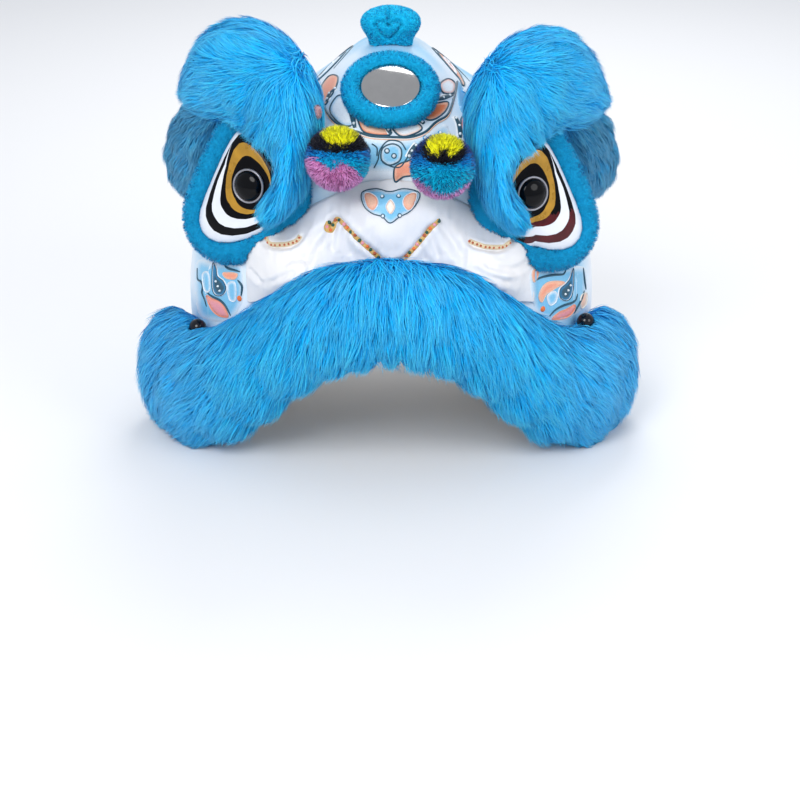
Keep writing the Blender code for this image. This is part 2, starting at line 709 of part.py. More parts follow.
def frame_mesh(name, eye):
    inner = closed_curve(EYE_OUTLINE, EYE_PLATE_WIDTH, EYE_PLATE_HEIGHT, OUTLINE_POINTS)
    inner = outset(inner, CLEARANCE)
    rings = [block_end(eye, inner), [eye.point(out, up, -EYE_BLOCK_STRAIGHT) for out, up in inner]]
    for row in FRAME_RINGS:
        rise = EYE_FRAME_CROWN * row["crown"] - EYE_PLATE_CROWN
        moved = outset(inner, EYE_FRAME_BORDER * row["border"])
        rings.append([eye.point(out, up, rise) for out, up in moved])
    rings.append(block_end(eye, outset(inner, EYE_FRAME_BORDER)))
    count = len(inner)
    points = [point for ring in rings for point in ring]
    faces = []
    for row in range(len(rings)):
        following = (row + 1) % len(rings)
        for k in range(count):
            beside = (k + 1) % count
            faces.append((row * count + k, row * count + beside, following * count + beside, following * count + k))
    return mesh_from(name, points, faces)


def turned_part(name, profile, finish, root, matrix, steps):
    """A profile of radius and height pairs, turned about the matrix's own Z axis."""
    mesh = bpy.data.meshes.new(name)
    closed = profile[0][0] > 0
    count = len(profile)
    edges = [(k, (k + 1) % count) for k in range(count if closed else count - 1)]
    mesh.from_pydata([(radius, 0, height) for radius, height in profile], edges, [])
    obj = add_part(name, mesh, finish, root)
    obj.matrix_basis = matrix
    turn = obj.modifiers.new("turn", "SCREW")
    turn.steps = turn.render_steps = steps
    turn.use_merge_vertices = True
    turn.merge_threshold = 0.00001
    turn.use_smooth_shade = True
    return obj


def dome_profile(radius, crown, depth, points=4):
    """From the top of a shallow dome down its side to the middle of its flat back."""
    arc = [
        (radius * math.sin(math.pi / 2 * k / points), crown * math.cos(math.pi / 2 * k / points))
        for k in range(points + 1)
    ]
    return arc + [(radius, -depth), (0.0, -depth)]


def make_eye(side, label, rise, shell_face, root, shell_cutter, nose_cutter):
    """One eye's plate, frame, rim and pupil. Returns the cutters that keep the brow clear of them."""
    eye = EyeFrame(shell_face, side, rise)
    plate = add_part(f"eye_plate_{label}", plate_mesh(f"eye_plate_{label}", eye), PLATE_GLOSS, root)
    frame = add_part(f"eye_frame_{label}", frame_mesh(f"eye_frame_{label}", eye), BLUE_PLUSH, root)
    cutters = [
        grown(f"clear_plate_{label}", plate.data, CUTTER_GROWTH, root),
        grown(f"clear_frame_{label}", frame.data, CUTTER_GROWTH, root),
    ]
    cut(plate, shell_cutter, nose_cutter)
    cut(frame, shell_cutter, nose_cutter)
    inner = PUPIL_RADIUS + CLEARANCE
    middle = (inner + PUPIL_RIM_RADIUS) / 2
    rim_profile = [
        (inner, PUPIL_RIM_HEIGHT * 0.7),
        (middle, PUPIL_RIM_HEIGHT),
        (PUPIL_RIM_RADIUS, PUPIL_RIM_HEIGHT * 0.5),
        (PUPIL_RIM_RADIUS, CLEARANCE),
        (inner, CLEARANCE),
    ]
    turned_part(f"pupil_rim_{label}", rim_profile, GREY_RIM, root, eye.matrix(0), 20)
    pupil_profile = dome_profile(PUPIL_RADIUS, PUPIL_DOME, PUPIL_EDGE)
    turned_part(f"pupil_{label}", pupil_profile, BLACK_GLOSS, root, eye.matrix(PUPIL_EDGE + CLEARANCE), 20)
    return cutters


def tilted(place, tilt):
    return Matrix.Translation(place) @ Matrix.Rotation(tilt, 4, "X")


def make_mirror(shell_face, root, shell_cutter):
    """The mirror in its plush ring."""
    seat, _ = shell_face.from_front(0, MIRROR_HEIGHT)
    matrix = tilted(seat, MIRROR_TILT)
    mirror_profile = dome_profile(MIRROR_RADIUS, MIRROR_CROWN, RING_BACK_DEPTH)
    mirror = turned_part("mirror", mirror_profile, CHROME, root, matrix, TURNED_STEPS)
    cut(mirror, shell_cutter)
    inner = MIRROR_RADIUS + CLEARANCE
    outer = MIRROR_RING_RADIUS
    width = outer - inner
    profile = [
        (inner, MIRROR_RING_HEIGHT * 0.55),
        (inner + width * 0.4, MIRROR_RING_HEIGHT),
        (inner + width * 0.78, MIRROR_RING_HEIGHT * 0.78),
        (outer, MIRROR_RING_HEIGHT * 0.1),
        (outer - width * 0.80, -RING_BACK_DEPTH),
        (inner, -RING_BACK_DEPTH),
    ]
    ring = turned_part("mirror_ring", profile, BLUE_PLUSH, root, matrix, TURNED_STEPS)
    cut(ring, shell_cutter)


def make_horn(shell_face, root, shell_cutter):
    foot = shell_face.from_above(0, HORN_BACK)
    rings = []
    for row in HORN_RINGS:
        middle = foot + Vector((0, -HORN_HALF_DEPTH * row["lean"], HORN_RISE * row["rise"] - HORN_SINK))
        ring = []
        for k in range(16):
            turn = 2 * math.pi * k / 16
            ring.append(
                middle
                + Vector(
                    (
                        HORN_HALF_WIDTH * row["wide"] * math.cos(turn),
                        HORN_HALF_DEPTH * row["deep"] * math.sin(turn),
                        0,
                    )
                )
            )
        rings.append(ring)
    horn = add_part("horn", loft("horn", rings), BLUE_PLUSH, root)
    cut(horn, shell_cutter)


def pompom_mesh(name, centre):
    """A ball whose fur stands in short locks."""
    rows, columns = 8, 14
    rings = []
    for j in range(rows):
        polar = math.pi * (j + 0.5) / rows
        ring = []
        for i in range(columns):
            turn = 2 * math.pi * i / columns
            lock = 1 + 0.035 * (1 if (i + j) % 2 else -1) * math.sin(polar)
            radius = POMPOM_RADIUS * lock
            ring.append(
                centre
                + Vector(
                    (
                        radius * math.sin(polar) * math.cos(turn),
                        radius * math.sin(polar) * math.sin(turn),
                        radius * math.cos(polar),
                    )
                )
            )
        rings.append(ring)
    return loft(name, rings)


def cylinder_between(name, start, end, radius):
    direction = end - start
    across = direction.orthogonal().normalized()
    beside = direction.normalized().cross(across)
    rings = []
    for place in (start, end):
        ring = []
        for k in range(8):
            turn = math.pi * k / 4
            ring.append(place + (across * math.cos(turn) + beside * math.sin(turn)) * radius)
        rings.append(ring)
    return loft(name, rings)


def make_pompom(side, label, rise, shell_face, root, shell_cutter):
    """A pompom in front of the forehead, and the post that carries it in a pocket of the fur."""
    seat, _ = shell_face.from_front(side * POMPOM_X, POMPOM_HEIGHT + rise)
    out = Vector((0, -1, 0))
    centre = seat + out * (POST_REACH + POMPOM_RADIUS)
    pompom = add_part(f"pompom_{label}", pompom_mesh(f"pompom_{label}", centre), POMPOM_FUR, root)
    tip = centre - out * (POMPOM_RADIUS - POST_DEPTH_IN_POMPOM)
    inside = seat - out * POST_DEPTH_IN_SHELL
    post_mesh = cylinder_between(f"pompom_post_{label}", inside, tip, POST_RADIUS)
    post = add_part(f"pompom_post_{label}", post_mesh, STEEL, root)
    cut(pompom, grown(f"clear_post_{label}", post_mesh, CUTTER_GROWTH, root))
    cut(post, shell_cutter)
    return grown(f"clear_pompom_{label}", pompom.data, CUTTER_GROWTH, root)


def make_stud(side, label, lip, lip_face, root):
    """A black ball that is half sunk in the upper face of the lip's end."""
    share = STUD_SHARE_LEFT if side < 0 else STUD_SHARE_RIGHT
    middle = lip_point(side, lambda column: eased(LIP_STATIONS, "along", share, column))
    direction = Vector((0, 0.05, 1)).normalized()
    hit = lip_face.along(middle + direction * 0.5, -direction)
    mesh = bpy.data.meshes.new(f"lip_stud_{label}")
    build = bmesh.new()
    bmesh.ops.create_uvsphere(build, u_segments=12, v_segments=8, radius=STUD_RADIUS, matrix=Matrix.Translation(hit))
    build.to_mesh(mesh)
    build.free()
    add_part(f"lip_stud_{label}", mesh, BLACK_GLOSS, root)
    cut(lip, grown(f"clear_stud_{label}", mesh, CUTTER_GROWTH, root))


def make_small_ball(brow, root):
    """A small ball that is sewn to the inner edge of the left brow."""
    seat, normal = face_of(brow).from_front(-SMALL_BALL_X, SMALL_BALL_HEIGHT)
    middle = seat + normal * SMALL_BALL_RADIUS * 0.8
    mesh = bpy.data.meshes.new("small_ball")
    build = bmesh.new()
    shape = Matrix.Translation(middle) @ Matrix.Diagonal((1, 1, SMALL_BALL_STRETCH, 1))
    bmesh.ops.create_uvsphere(build, u_segments=10, v_segments=6, radius=SMALL_BALL_RADIUS, matrix=shape)
    build.to_mesh(mesh)
    build.free()
    add_part("small_ball", mesh, PALE_PINK, root)
    cut(brow, grown("clear_small_ball", mesh, CUTTER_GROWTH, root))


def centre_on_origin(root):
    """Moves everything so that the origin is on the floor, under the middle of the model's box."""
    bpy.context.view_layer.update()
    graph = bpy.context.evaluated_depsgraph_get()
    corners = []
    for obj in bpy.data.collections[PARTS].objects:
        shape = obj.evaluated_get(graph)
        corners += [shape.matrix_world @ Vector(corner) for corner in shape.bound_box]
    middle_y = (min(c.y for c in corners) + max(c.y for c in corners)) / 2
    root.location = (0, -middle_y, -min(c.z for c in corners))


def main():
    clear_scene()
    new_collection(PARTS)
    new_collection(CUTTERS)
    root = bpy.data.objects.new("head", None)
    bpy.context.scene.collection.objects.link(root)

    points, faces = shell_grid((-BELOW_FLOOR, -BELOW_FLOOR / 2))
    shell_block = mesh_from("shell_block", points, faces)
    shell_face = Surface(points, faces)
    shell_cutter = grown("clear_shell", shell_block, CLEARANCE, root)
    make_shell(root)

    lip = add_part("lip_fur", lip_mesh(), BLUE_FUR, root)
    lip_face = face_of(lip)
    lip_cutter = grown("clear_lip", lip.data, CUTTER_GROWTH, root)

    nose = add_part("nose", nose_mesh(shell_face), WHITE_SATIN, root)
    nose_cutter = grown("clear_nose", nose.data, CUTTER_GROWTH, root)
    cut(lip, shell_cutter)
    cut(nose, shell_cutter, lip_cutter)

    make_mirror(shell_face, root, shell_cutter)
    make_horn(shell_face, root, shell_cutter)
    for row in SIDES:
        side, label, rise = row["side"], row["label"], row["rise"]
        eye_cutters = make_eye(side, label, rise, shell_face, root, shell_cutter, nose_cutter)
        pompom_cutter = make_pompom(side, label, rise, shell_face, root, shell_cutter)
        brow = add_part(f"brow_{label}", brow_mesh(f"brow_{label}", side, row["brow_out"], row["brow_rise"]), BLUE_FUR, root)
        cut(brow, shell_cutter, nose_cutter, *eye_cutters, pompom_cutter)
        if side < 0:
            make_small_ball(brow, root)
        ear = add_part(f"ear_{label}", ear_mesh(f"ear_{label}", side), BLUE_FUR, root)
        cut(ear, shell_cutter)
        make_stud(side, label, lip, lip_face, root)
    centre_on_origin(root)


main()
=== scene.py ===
"""The looks of the lion dance head: fur, plush, painted eyes, padded satin, and a printed cover with trim."""
import math

import bmesh
import bpy
import numpy as np
from mathutils import Matrix, Vector, noise
from mathutils.bvhtree import BVHTree
from mathutils.geometry import delaunay_2d_cdt
from mathutils.kdtree import KDTree


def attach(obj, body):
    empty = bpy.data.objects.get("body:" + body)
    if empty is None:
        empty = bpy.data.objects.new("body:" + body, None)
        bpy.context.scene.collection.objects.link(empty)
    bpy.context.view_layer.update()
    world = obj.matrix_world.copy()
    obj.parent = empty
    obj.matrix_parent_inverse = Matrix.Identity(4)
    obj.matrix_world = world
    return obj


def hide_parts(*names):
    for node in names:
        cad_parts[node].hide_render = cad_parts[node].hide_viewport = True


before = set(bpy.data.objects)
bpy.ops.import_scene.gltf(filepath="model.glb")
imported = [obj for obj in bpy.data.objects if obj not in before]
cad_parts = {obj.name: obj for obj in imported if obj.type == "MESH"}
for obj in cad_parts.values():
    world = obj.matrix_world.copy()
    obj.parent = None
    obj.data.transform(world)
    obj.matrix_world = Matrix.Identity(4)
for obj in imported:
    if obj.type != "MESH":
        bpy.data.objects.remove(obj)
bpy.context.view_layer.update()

# The camera, which stands where the photographer stood.
CAMERA_PLACE = Vector((0.0118, -2.156, 1.043))
CAMERA_DOWN = math.radians(25.93)
CAMERA_LENS_MM = 77.1
CAMERA_SENSOR_MM = 36.0
PICTURE_SIZE = 800

# Each eye looks outwards and a little upwards.
EYE_YAW = math.radians(25)
EYE_PITCH = math.radians(9)

SIDES = (("left", -1), ("right", 1))

# The middle of the hollow shell, from which its outside is told from its lining.
SHELL_MIDDLE = (0, 0.03, 0.22)
FLOOR_HALF_SIZE = 9.0


def linear(red, green, blue):
    """A colour as a screen shows it, from 0 to 255, as Blender's linear colour."""
    out = []
    for value in (red, green, blue):
        share = value / 255
        out.append(share / 12.92 if share <= 0.04045 else ((share + 0.055) / 1.055) ** 2.4)
    return (*out, 1.0)


# Camera, floor and light

def make_camera():
    data = bpy.data.cameras.new("camera")
    data.lens = CAMERA_LENS_MM
    data.sensor_width = CAMERA_SENSOR_MM
    camera = bpy.data.objects.new("camera", data)
    camera.location = CAMERA_PLACE
    camera.rotation_euler = (math.pi / 2 - CAMERA_DOWN, 0, 0)
    bpy.context.scene.collection.objects.link(camera)
    bpy.context.scene.camera = camera


def area_light(name, place, target, size, power, colour=(1, 1, 1)):
    data = bpy.data.lights.new(name, "AREA")
    data.shape = "DISK"
    data.size = size
    data.energy = power
    data.color = colour
    light = bpy.data.objects.new(name, data)
    light.location = place
    direction = Vector(target) - Vector(place)
    light.rotation_euler = direction.to_track_quat("-Z", "Y").to_euler()
    bpy.context.scene.collection.objects.link(light)


def make_studio():
    world = bpy.data.worlds.new("studio")
    world.use_nodes = True
    background = world.node_tree.nodes["Background"]
    background.inputs["Color"].default_value = (0.90, 0.94, 1.0, 1)
    background.inputs["Strength"].default_value = 0.70
    bpy.context.scene.world = world
    area_light("key", (-0.9, -2.3, 2.3), (0, -0.1, 0.25), 1.6, 57)
    area_light("fill", (1.9, -1.5, 1.5), (0, -0.1, 0.25), 1.4, 19)
    area_light("back", (0.3, 1.9, 2.2), (0, 0, 0.3), 1.5, 30)
    mesh = bpy.data.meshes.new("floor")
    half = FLOOR_HALF_SIZE
    corners = [(-half, -half, 0), (half, -half, 0), (half, half, 0), (-half, half, 0)]
    mesh.from_pydata(corners, [], [(0, 1, 2, 3)])
    floor = bpy.data.objects.new("floor", mesh)
    bpy.context.scene.collection.objects.link(floor)
    material, _, shader = new_material("floor_paper")
    shader.inputs["Base Color"].default_value = (0.80, 0.80, 0.81, 1)
    shader.inputs["Roughness"].default_value = 0.75
    mesh.materials.append(material)


# Materials

def new_material(name):
    material = bpy.data.materials.new(name)
    material.use_nodes = True
    tree = material.node_tree
    return material, tree, tree.nodes["Principled BSDF"]


def add_node(tree, kind, values=None, **settings):
    node = tree.nodes.new(kind)
    for key, value in settings.items():
        setattr(node, key, value)
    for key, value in (values or {}).items():
        node.inputs[key].default_value = value
    return node


def noise_node(tree, scale, detail=2.0, stretch=(1, 1, 1)):
    """Noise over the object's own coordinates, in metres."""
    place = add_node(tree, "ShaderNodeTexCoord")
    mapping = add_node(tree, "ShaderNodeMapping", {"Scale": stretch})
    tree.links.new(place.outputs["Object"], mapping.inputs["Vector"])
    texture = add_node(tree, "ShaderNodeTexNoise", {"Scale": scale, "Detail": detail})
    tree.links.new(mapping.outputs["Vector"], texture.inputs["Vector"])
    return texture


def ramp_node(tree, source, stops):
    """Colours by how far the source value has come."""
    ramp = add_node(tree, "ShaderNodeValToRGB")
    while len(ramp.color_ramp.elements) < len(stops):
        ramp.color_ramp.elements.new(0.5)
    for element, (position, colour) in zip(ramp.color_ramp.elements, stops):
        element.position = position
        element.color = colour
    tree.links.new(source, ramp.inputs["Fac"])
    return ramp


def bump_node(tree, shader, source, distance, strength=1.0):
    bump = add_node(tree, "ShaderNodeBump", {"Strength": strength, "Distance": distance})
    tree.links.new(source, bump.inputs["Height"])
    tree.links.new(bump.outputs["Normal"], shader.inputs["Normal"])
    return bump


def strand_material(name, sheen_colour, roughness=0.6):
    """Fibre whose colour is stored along each strand."""
    material, tree, shader = new_material(name)
    stored = add_node(tree, "ShaderNodeVertexColor", layer_name="strand_colour")
    speckle = noise_node(tree, 900, 1.0)
    tone = ramp_node(tree, speckle.outputs["Fac"], [(0.3, (0.84, 0.84, 0.84, 1)), (0.7, (1, 1, 1, 1))])
    mix = add_node(tree, "ShaderNodeMix", data_type="RGBA", blend_type="MULTIPLY")
    mix.inputs["Factor"].default_value = 1.0
    tree.links.new(stored.outputs["Color"], mix.inputs["A"])
    tree.links.new(tone.outputs["Color"], mix.inputs["B"])
    tree.links.new(mix.outputs["Result"], shader.inputs["Base Color"])
    shader.inputs["Roughness"].default_value = roughness
    shader.inputs["Specular IOR Level"].default_value = 0.12
    shader.inputs["Sheen Weight"].default_value = 0.18
    shader.inputs["Sheen Roughness"].default_value = 0.45
    shader.inputs["Sheen Tint"].default_value = sheen_colour
    return material


def gloss_material(name, colour, roughness, coat=0.0, metallic=0.0, mottle=0.06, specular=0.5):
    """A smooth hard finish with faint cloudiness in its colour and gloss."""
    material, tree, shader = new_material(name)
    clouds = noise_node(tree, 60, 3.0)
    dark = tuple(c * (1 - mottle) for c in colour[:3]) + (1,)
    tone = ramp_node(tree, clouds.outputs["Fac"], [(0.35, dark), (0.65, colour)])
    tree.links.new(tone.outputs["Color"], shader.inputs["Base Color"])
    low, high = roughness * 0.8, roughness * 1.3
    rough = ramp_node(tree, clouds.outputs["Fac"], [(0.3, (low, low, low, 1)), (0.7, (high, high, high, 1))])
    tree.links.new(rough.outputs["Color"], shader.inputs["Roughness"])
    shader.inputs["Metallic"].default_value = metallic
    shader.inputs["Specular IOR Level"].default_value = specular
    shader.inputs["Coat Weight"].default_value = coat
    shader.inputs["Coat Roughness"].default_value = 0.05
    return material


def satin_material(name, colour, shade, roughness=0.42, weave=1400, sheen=0.15):
    """Woven satin: a fine thread bump, soft clouding, and a slight sheen."""
    material, tree, shader = new_material(name)
    clouds = noise_node(tree, 9, 3.0)
    tone = ramp_node(tree, clouds.outputs["Fac"], [(0.35, shade), (0.62, colour)])
    tree.links.new(tone.outputs["Color"], shader.inputs["Base Color"])
    threads = noise_node(tree, weave, 1.0, (1, 1, 0.12))
    across = noise_node(tree, weave, 1.0, (0.12, 0.12, 1))
    both = add_node(tree, "ShaderNodeMath", operation="ADD")
    tree.links.new(threads.outputs["Fac"], both.inputs[0])
    tree.links.new(across.outputs["Fac"], both.inputs[1])
    bump_node(tree, shader, both.outputs["Value"], 0.0004, 0.35)
    shader.inputs["Roughness"].default_value = roughness
    shader.inputs["Sheen Weight"].default_value = sheen
    shader.inputs["Specular IOR Level"].default_value = 0.4
    return material


# Meshes

def new_piece(name, mesh, materials, replaced=()):
    obj = bpy.data.objects.new(name, mesh)
    bpy.context.scene.collection.objects.link(obj)
    for material in materials:
        mesh.materials.append(material)
    if replaced:
        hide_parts(*replaced)
    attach(obj, "root")
    return obj


def mesh_of(name, points, faces, material_index=None):
    mesh = bpy.data.meshes.new(name)
    mesh.from_pydata([tuple(p) for p in points], [], faces)
    if material_index is not None:
        mesh.polygons.foreach_set("material_index", material_index)
    mesh.polygons.foreach_set("use_smooth", [True] * len(mesh.polygons))
    mesh.update()
    return mesh


def welded(node_name):
    """A bmesh of a CAD node with its doubled points joined."""
    build = bmesh.new()
    build.from_mesh(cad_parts[node_name].data)
    bmesh.ops.remove_doubles(build, verts=build.verts, dist=0.00005)
    bmesh.ops.recalc_face_normals(build, faces=build.faces)
    return build


def merged_tree(meshes):
    """One search tree over several meshes."""
    points, faces = [], []
    for mesh in meshes:
        start = len(points)
        points += [v.co.copy() for v in mesh.vertices]
        faces += [tuple(start + i for i in p.vertices) for p in mesh.polygons]
    return BVHTree.FromPolygons(points, faces)


def node_tree(*names):
    """One search tree over several CAD nodes."""
    return merged_tree([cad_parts[name].data for name in names])


# Fur

# How deep the roots and the base lie under the surface, and how low a strand may hang.
ROOT_DEPTH = 0.0008
BASE_DEPTH = 0.0012
LOWEST_STRAND = 0.0006


def unit(vectors):
    return vectors / np.maximum(np.linalg.norm(vectors, axis=1, keepdims=True), 1e-9)


class Pelt:
    """The surface that fur grows on: points, normals, triangles, and a search tree."""

    def __init__(self, build):
        bmesh.ops.triangulate(build, faces=build.faces)
        build.normal_update()
        self.points = np.array([v.co for v in build.verts])
        self.normals = np.array([v.normal for v in build.verts])
        self.triangles = np.array([[v.index for v in f.verts] for f in build.faces])
        self.tree = BVHTree.FromBMesh(build)
        build.free()

    def scatter(self, count, rng):
        """Points spread evenly over the surface, with their normals."""
        corners = self.points[self.triangles]
        areas = np.linalg.norm(np.cross(corners[:, 1] - corners[:, 0], corners[:, 2] - corners[:, 0]), axis=1)
        chosen = rng.choice(len(areas), count, p=areas / areas.sum())
        a, b = rng.random(count), rng.random(count)
        over = a + b > 1
        a[over], b[over] = 1 - a[over], 1 - b[over]
        weights = np.stack([1 - a - b, a, b], axis=1)[:, :, None]
        roots = (corners[chosen] * weights).sum(axis=1)
        normals = unit((self.normals[self.triangles[chosen]] * weights).sum(axis=1))
        return roots, normals

    def nearest(self, points):
        """The nearest points of the surface, and the normals there."""
        places, normals = np.empty_like(points), np.empty_like(points)
        for i, point in enumerate(points):
            place, normal, _, _ = self.tree.find_nearest(Vector(point))
            places[i], normals[i] = place, normal
        return places, normals


def clear_of(points, trees, distance):
    """Which points are farther than a distance from all of the trees."""
    keep = np.ones(len(points), bool)
    for tree in trees:
        for i, point in enumerate(points):
            if keep[i] and tree.find_nearest(Vector(point), distance)[0] is not None:
                keep[i] = False
    return keep


def grow_fur(name, node, material, pelt, settings, flow, colour, neighbours, seed):
    """Strands of fur as tapered ribbons on a copy of a node's own surface, in one mesh for the node."""
    rng = np.random.default_rng(seed)
    roots, normals = pelt.scatter(settings["count"], rng)
    keep = clear_of(roots, neighbours, settings.get("clear", 0.002))
    roots, normals = roots[keep], normals[keep]
    count = len(roots)
    tufts = min(settings["tufts"], count)
    nearest_tuft = KDTree(tufts)
    for i in range(tufts):
        nearest_tuft.insert(Vector(roots[i]), i)
    nearest_tuft.balance()
    tuft = np.array([nearest_tuft.find(Vector(p))[1] for p in roots])
    lean = unit(rng.normal(size=(tufts, 3)))[tuft] * settings["tuft_lean"]
    lean += rng.normal(size=(count, 3)) * settings["stray"]
    tuft_tone = rng.random(tufts)[tuft]
    strand_tone = rng.random(count)
    lengths = settings["length"] * (0.72 + 0.5 * rng.random(count)) * (0.85 + 0.3 * tuft_tone)
    lifts = settings["lift"] * (0.25 + rng.random(count)) * (0.6 + 0.8 * tuft_tone)
    steps = settings["steps"]
    path, shading = [roots - normals * ROOT_DEPTH], [normals]
    place, normal = roots, normals
    for step in range(1, steps + 1):
        heading = flow(place, normal) + lean
        heading -= normal * (heading * normal).sum(axis=1, keepdims=True)
        heading = unit(heading) + normal * settings["stand"]
        free = place + unit(heading) * (lengths / steps)[:, None]
        free[:, 2] -= settings["droop"] * (step / steps) ** 2
        on_surface, normal = pelt.nearest(free)
        rise = (lifts * (step / steps) ** 0.8)[:, None]
        height = ((free - on_surface) * normal).sum(axis=1, keepdims=True)
        loose = settings["loose"] * (step == steps)
        laid = on_surface + normal * rise
        freed = free + normal * np.maximum(rise * 0.5 - height, 0)
        place = laid * (1 - loose) + freed * loose
        path.append(place)
        shading.append(normal)
    path = np.stack(path, axis=1)
    shading = np.stack(shading, axis=1)
    for step in range(1, steps + 1):
        pull = settings["clump"] * (step / steps) ** 1.4
        path[:, step] += (path[tuft, step] - path[:, step]) * pull
    path[:, :, 2] = np.maximum(path[:, :, 2], LOWEST_STRAND)
    if "trimmed_to" in settings:
        middle, radius = settings["trimmed_to"]
        offset = path - np.array(middle)
        far = np.linalg.norm(offset, axis=2, keepdims=True)
        limit = radius * (0.955 + 0.06 * rng.random((count, 1, 1)))
        path = np.array(middle) + offset * np.minimum(1, limit / far)
    levels = np.arange(steps + 1)
    along = np.gradient(path, axis=1)
    sideways = np.cross(along, shading)
    sideways /= np.maximum(np.linalg.norm(sideways, axis=2, keepdims=True), 1e-9)
    roll = (rng.random((count, 1, 1)) - 0.5) * settings["roll"]
    sideways = sideways * np.cos(roll) + shading * np.sin(roll)
    width = settings["width"] * (0.7 + 0.6 * strand_tone)[:, None] * (1 - (levels / steps) ** 1.6)[None, :]
    left = path - sideways * width[:, :, None] / 2
    right = path + sideways * width[:, :, None] / 2
    tilt = sideways * ((strand_tone - 0.5) * settings["glint"])[:, None, None]
    across = unit(np.cross(sideways, along).reshape(-1, 3)).reshape(along.shape)
    facing = shading + tilt + across * settings.get("own_normal", 0.0)
    tone = colour(path, levels / steps, strand_tone, tuft_tone, rng)
    edges = np.stack([left[:, :-1], right[:, :-1]], axis=2).reshape(count, -1, 3)
    points = np.concatenate([edges, path[:, -1:]], axis=1)
    face_normals = np.concatenate([np.repeat(facing[:, :-1], 2, axis=1), facing[:, -1:]], axis=1)
    tones = np.concatenate([np.repeat(tone[:, :-1], 2, axis=1), tone[:, -1:]], axis=1)
    each = 2 * steps + 1
    starts = np.arange(count)[:, None] * each + len(pelt.points)
    quads = [starts + np.array([[2 * s, 2 * s + 1, 2 * s + 3, 2 * s + 2]]) for s in range(steps - 1)]
    tip = starts + np.array([[each - 3, each - 2, each - 1]])
    even = np.zeros(len(pelt.points))
    # The base under the strands takes the root's colour, with the painted shade that the fur and plush
    # colours give their roots.
    base_tone = colour(pelt.points[:, None], np.array([0.0]), even, even, rng)[:, 0]
    all_points = np.concatenate([pelt.points - pelt.normals * BASE_DEPTH, points.reshape(-1, 3)])
    all_points[:, 2] = np.maximum(all_points[:, 2], 0.0)
    all_normals = np.concatenate([pelt.normals, unit(face_normals.reshape(-1, 3))])
    all_tones = np.concatenate([base_tone, tones.reshape(-1, 3)])
    quads = np.concatenate(quads) if quads else None
    mesh = ribbon_mesh(name, all_points, pelt.triangles, quads, tip, all_normals, all_tones)
    return new_piece(name, mesh, [material], [node])


def ribbon_mesh(name, points, base, quads, tips, normals, tones):
    """A mesh from arrays of triangles, quads and triangles, with its own normals and colours."""
    groups = [group for group in (base, quads, tips) if group is not None]
    loops = np.concatenate([group.reshape(-1) for group in groups]).astype(np.int32)
    totals = np.concatenate([np.full(len(group), group.shape[1], np.int32) for group in groups])
    mesh = bpy.data.meshes.new(name)
    mesh.vertices.add(len(points))
    mesh.vertices.foreach_set("co", points.astype(np.float32).reshape(-1))
    mesh.loops.add(len(loops))
    mesh.loops.foreach_set("vertex_index", loops)
    mesh.polygons.add(len(totals))
    mesh.polygons.foreach_set("loop_start", np.concatenate([[0], np.cumsum(totals)[:-1]]).astype(np.int32))
    mesh.polygons.foreach_set("loop_total", totals)
    mesh.update(calc_edges=True)
    mesh.polygons.foreach_set("use_smooth", np.ones(len(totals), bool))
    layer = mesh.color_attributes.new("strand_colour", "FLOAT_COLOR", "POINT")
    opaque = np.concatenate([tones, np.ones((len(tones), 1))], axis=1)
    layer.data.foreach_set("color", opaque.astype(np.float32).reshape(-1))
    mesh.normals_split_custom_set_from_vertices([tuple(n) for n in normals])
    return mesh


# The blue fur's colours: the root colour is darker as painted shade between the strands, the core is the dye,
# the tip colour is paler as a painted highlight, and the last is a painted sheen on the tips towards the
# sides.
FUR_ROOT_PAINTED_SHADE = np.array([0.002, 0.33, 0.84])
FUR_CORE = np.array([0.003, 0.49, 1.0])
FUR_TIP_PAINTED_HIGHLIGHT = np.array([0.10, 0.63, 1.0])
FUR_PAINTED_SHEEN = np.array([0.17, 0.46, 0.80])
FUR_CORE_SHARE = 0.45
# The painted sheen on the tips starts at this distance from the middle, and is full after this much more.
PAINTED_SHEEN_START = 0.17
PAINTED_SHEEN_SPAN = 0.10


def blue_fur_colour(path, share, strand_tone, tuft_tone, rng):
    """Darker at the root as painted shade between the strands, clear azure along the strand, paler at the tip
    as a painted highlight, and a painted sheen on the tips towards the sides.
    """
    share = np.broadcast_to(share, path.shape[:2])[:, :, None]
    lower = FUR_ROOT_PAINTED_SHADE + (FUR_CORE - FUR_ROOT_PAINTED_SHADE) * (share / FUR_CORE_SHARE)
    upper = FUR_CORE + (FUR_TIP_PAINTED_HIGHLIGHT - FUR_CORE) * ((share - FUR_CORE_SHARE) / (1 - FUR_CORE_SHARE))
    tone = np.where(share < FUR_CORE_SHARE, lower, upper)
    bright = (0.82 + 0.34 * strand_tone + 0.22 * (tuft_tone - 0.5))[:, None, None]
    # Painted sheen: the tips grow paler and greyer towards the sides.
    painted_sheen = 0.5 * np.clip((np.abs(path[:, :1, :1]) - PAINTED_SHEEN_START) / PAINTED_SHEEN_SPAN, 0, 1) * share
    return np.clip((tone + (FUR_PAINTED_SHEEN - tone) * painted_sheen) * bright, 0, 1)


def ear_fur_colour(path, share, strand_tone, tuft_tone, rng):
    """The ears' fur is duller than the rest."""
    return blue_fur_colour(path, share, strand_tone, tuft_tone, rng) * np.array([1.0, 0.70, 0.66]) + 0.02


# Where the fur parts: the lip's strands run from a line above it, which falls towards the ends.
LIP_HALF_SPAN = 0.26
LIP_PARTING = 0.40
LIP_PARTING_FALL = 0.22
BROW_LEG = 0.10
BROW_LEG_SPAN = 0.11
BROW_TOP = 0.485
BROW_TOP_SPAN = 0.05
EAR_PARTING = (0.215, 0.03, 0.40)


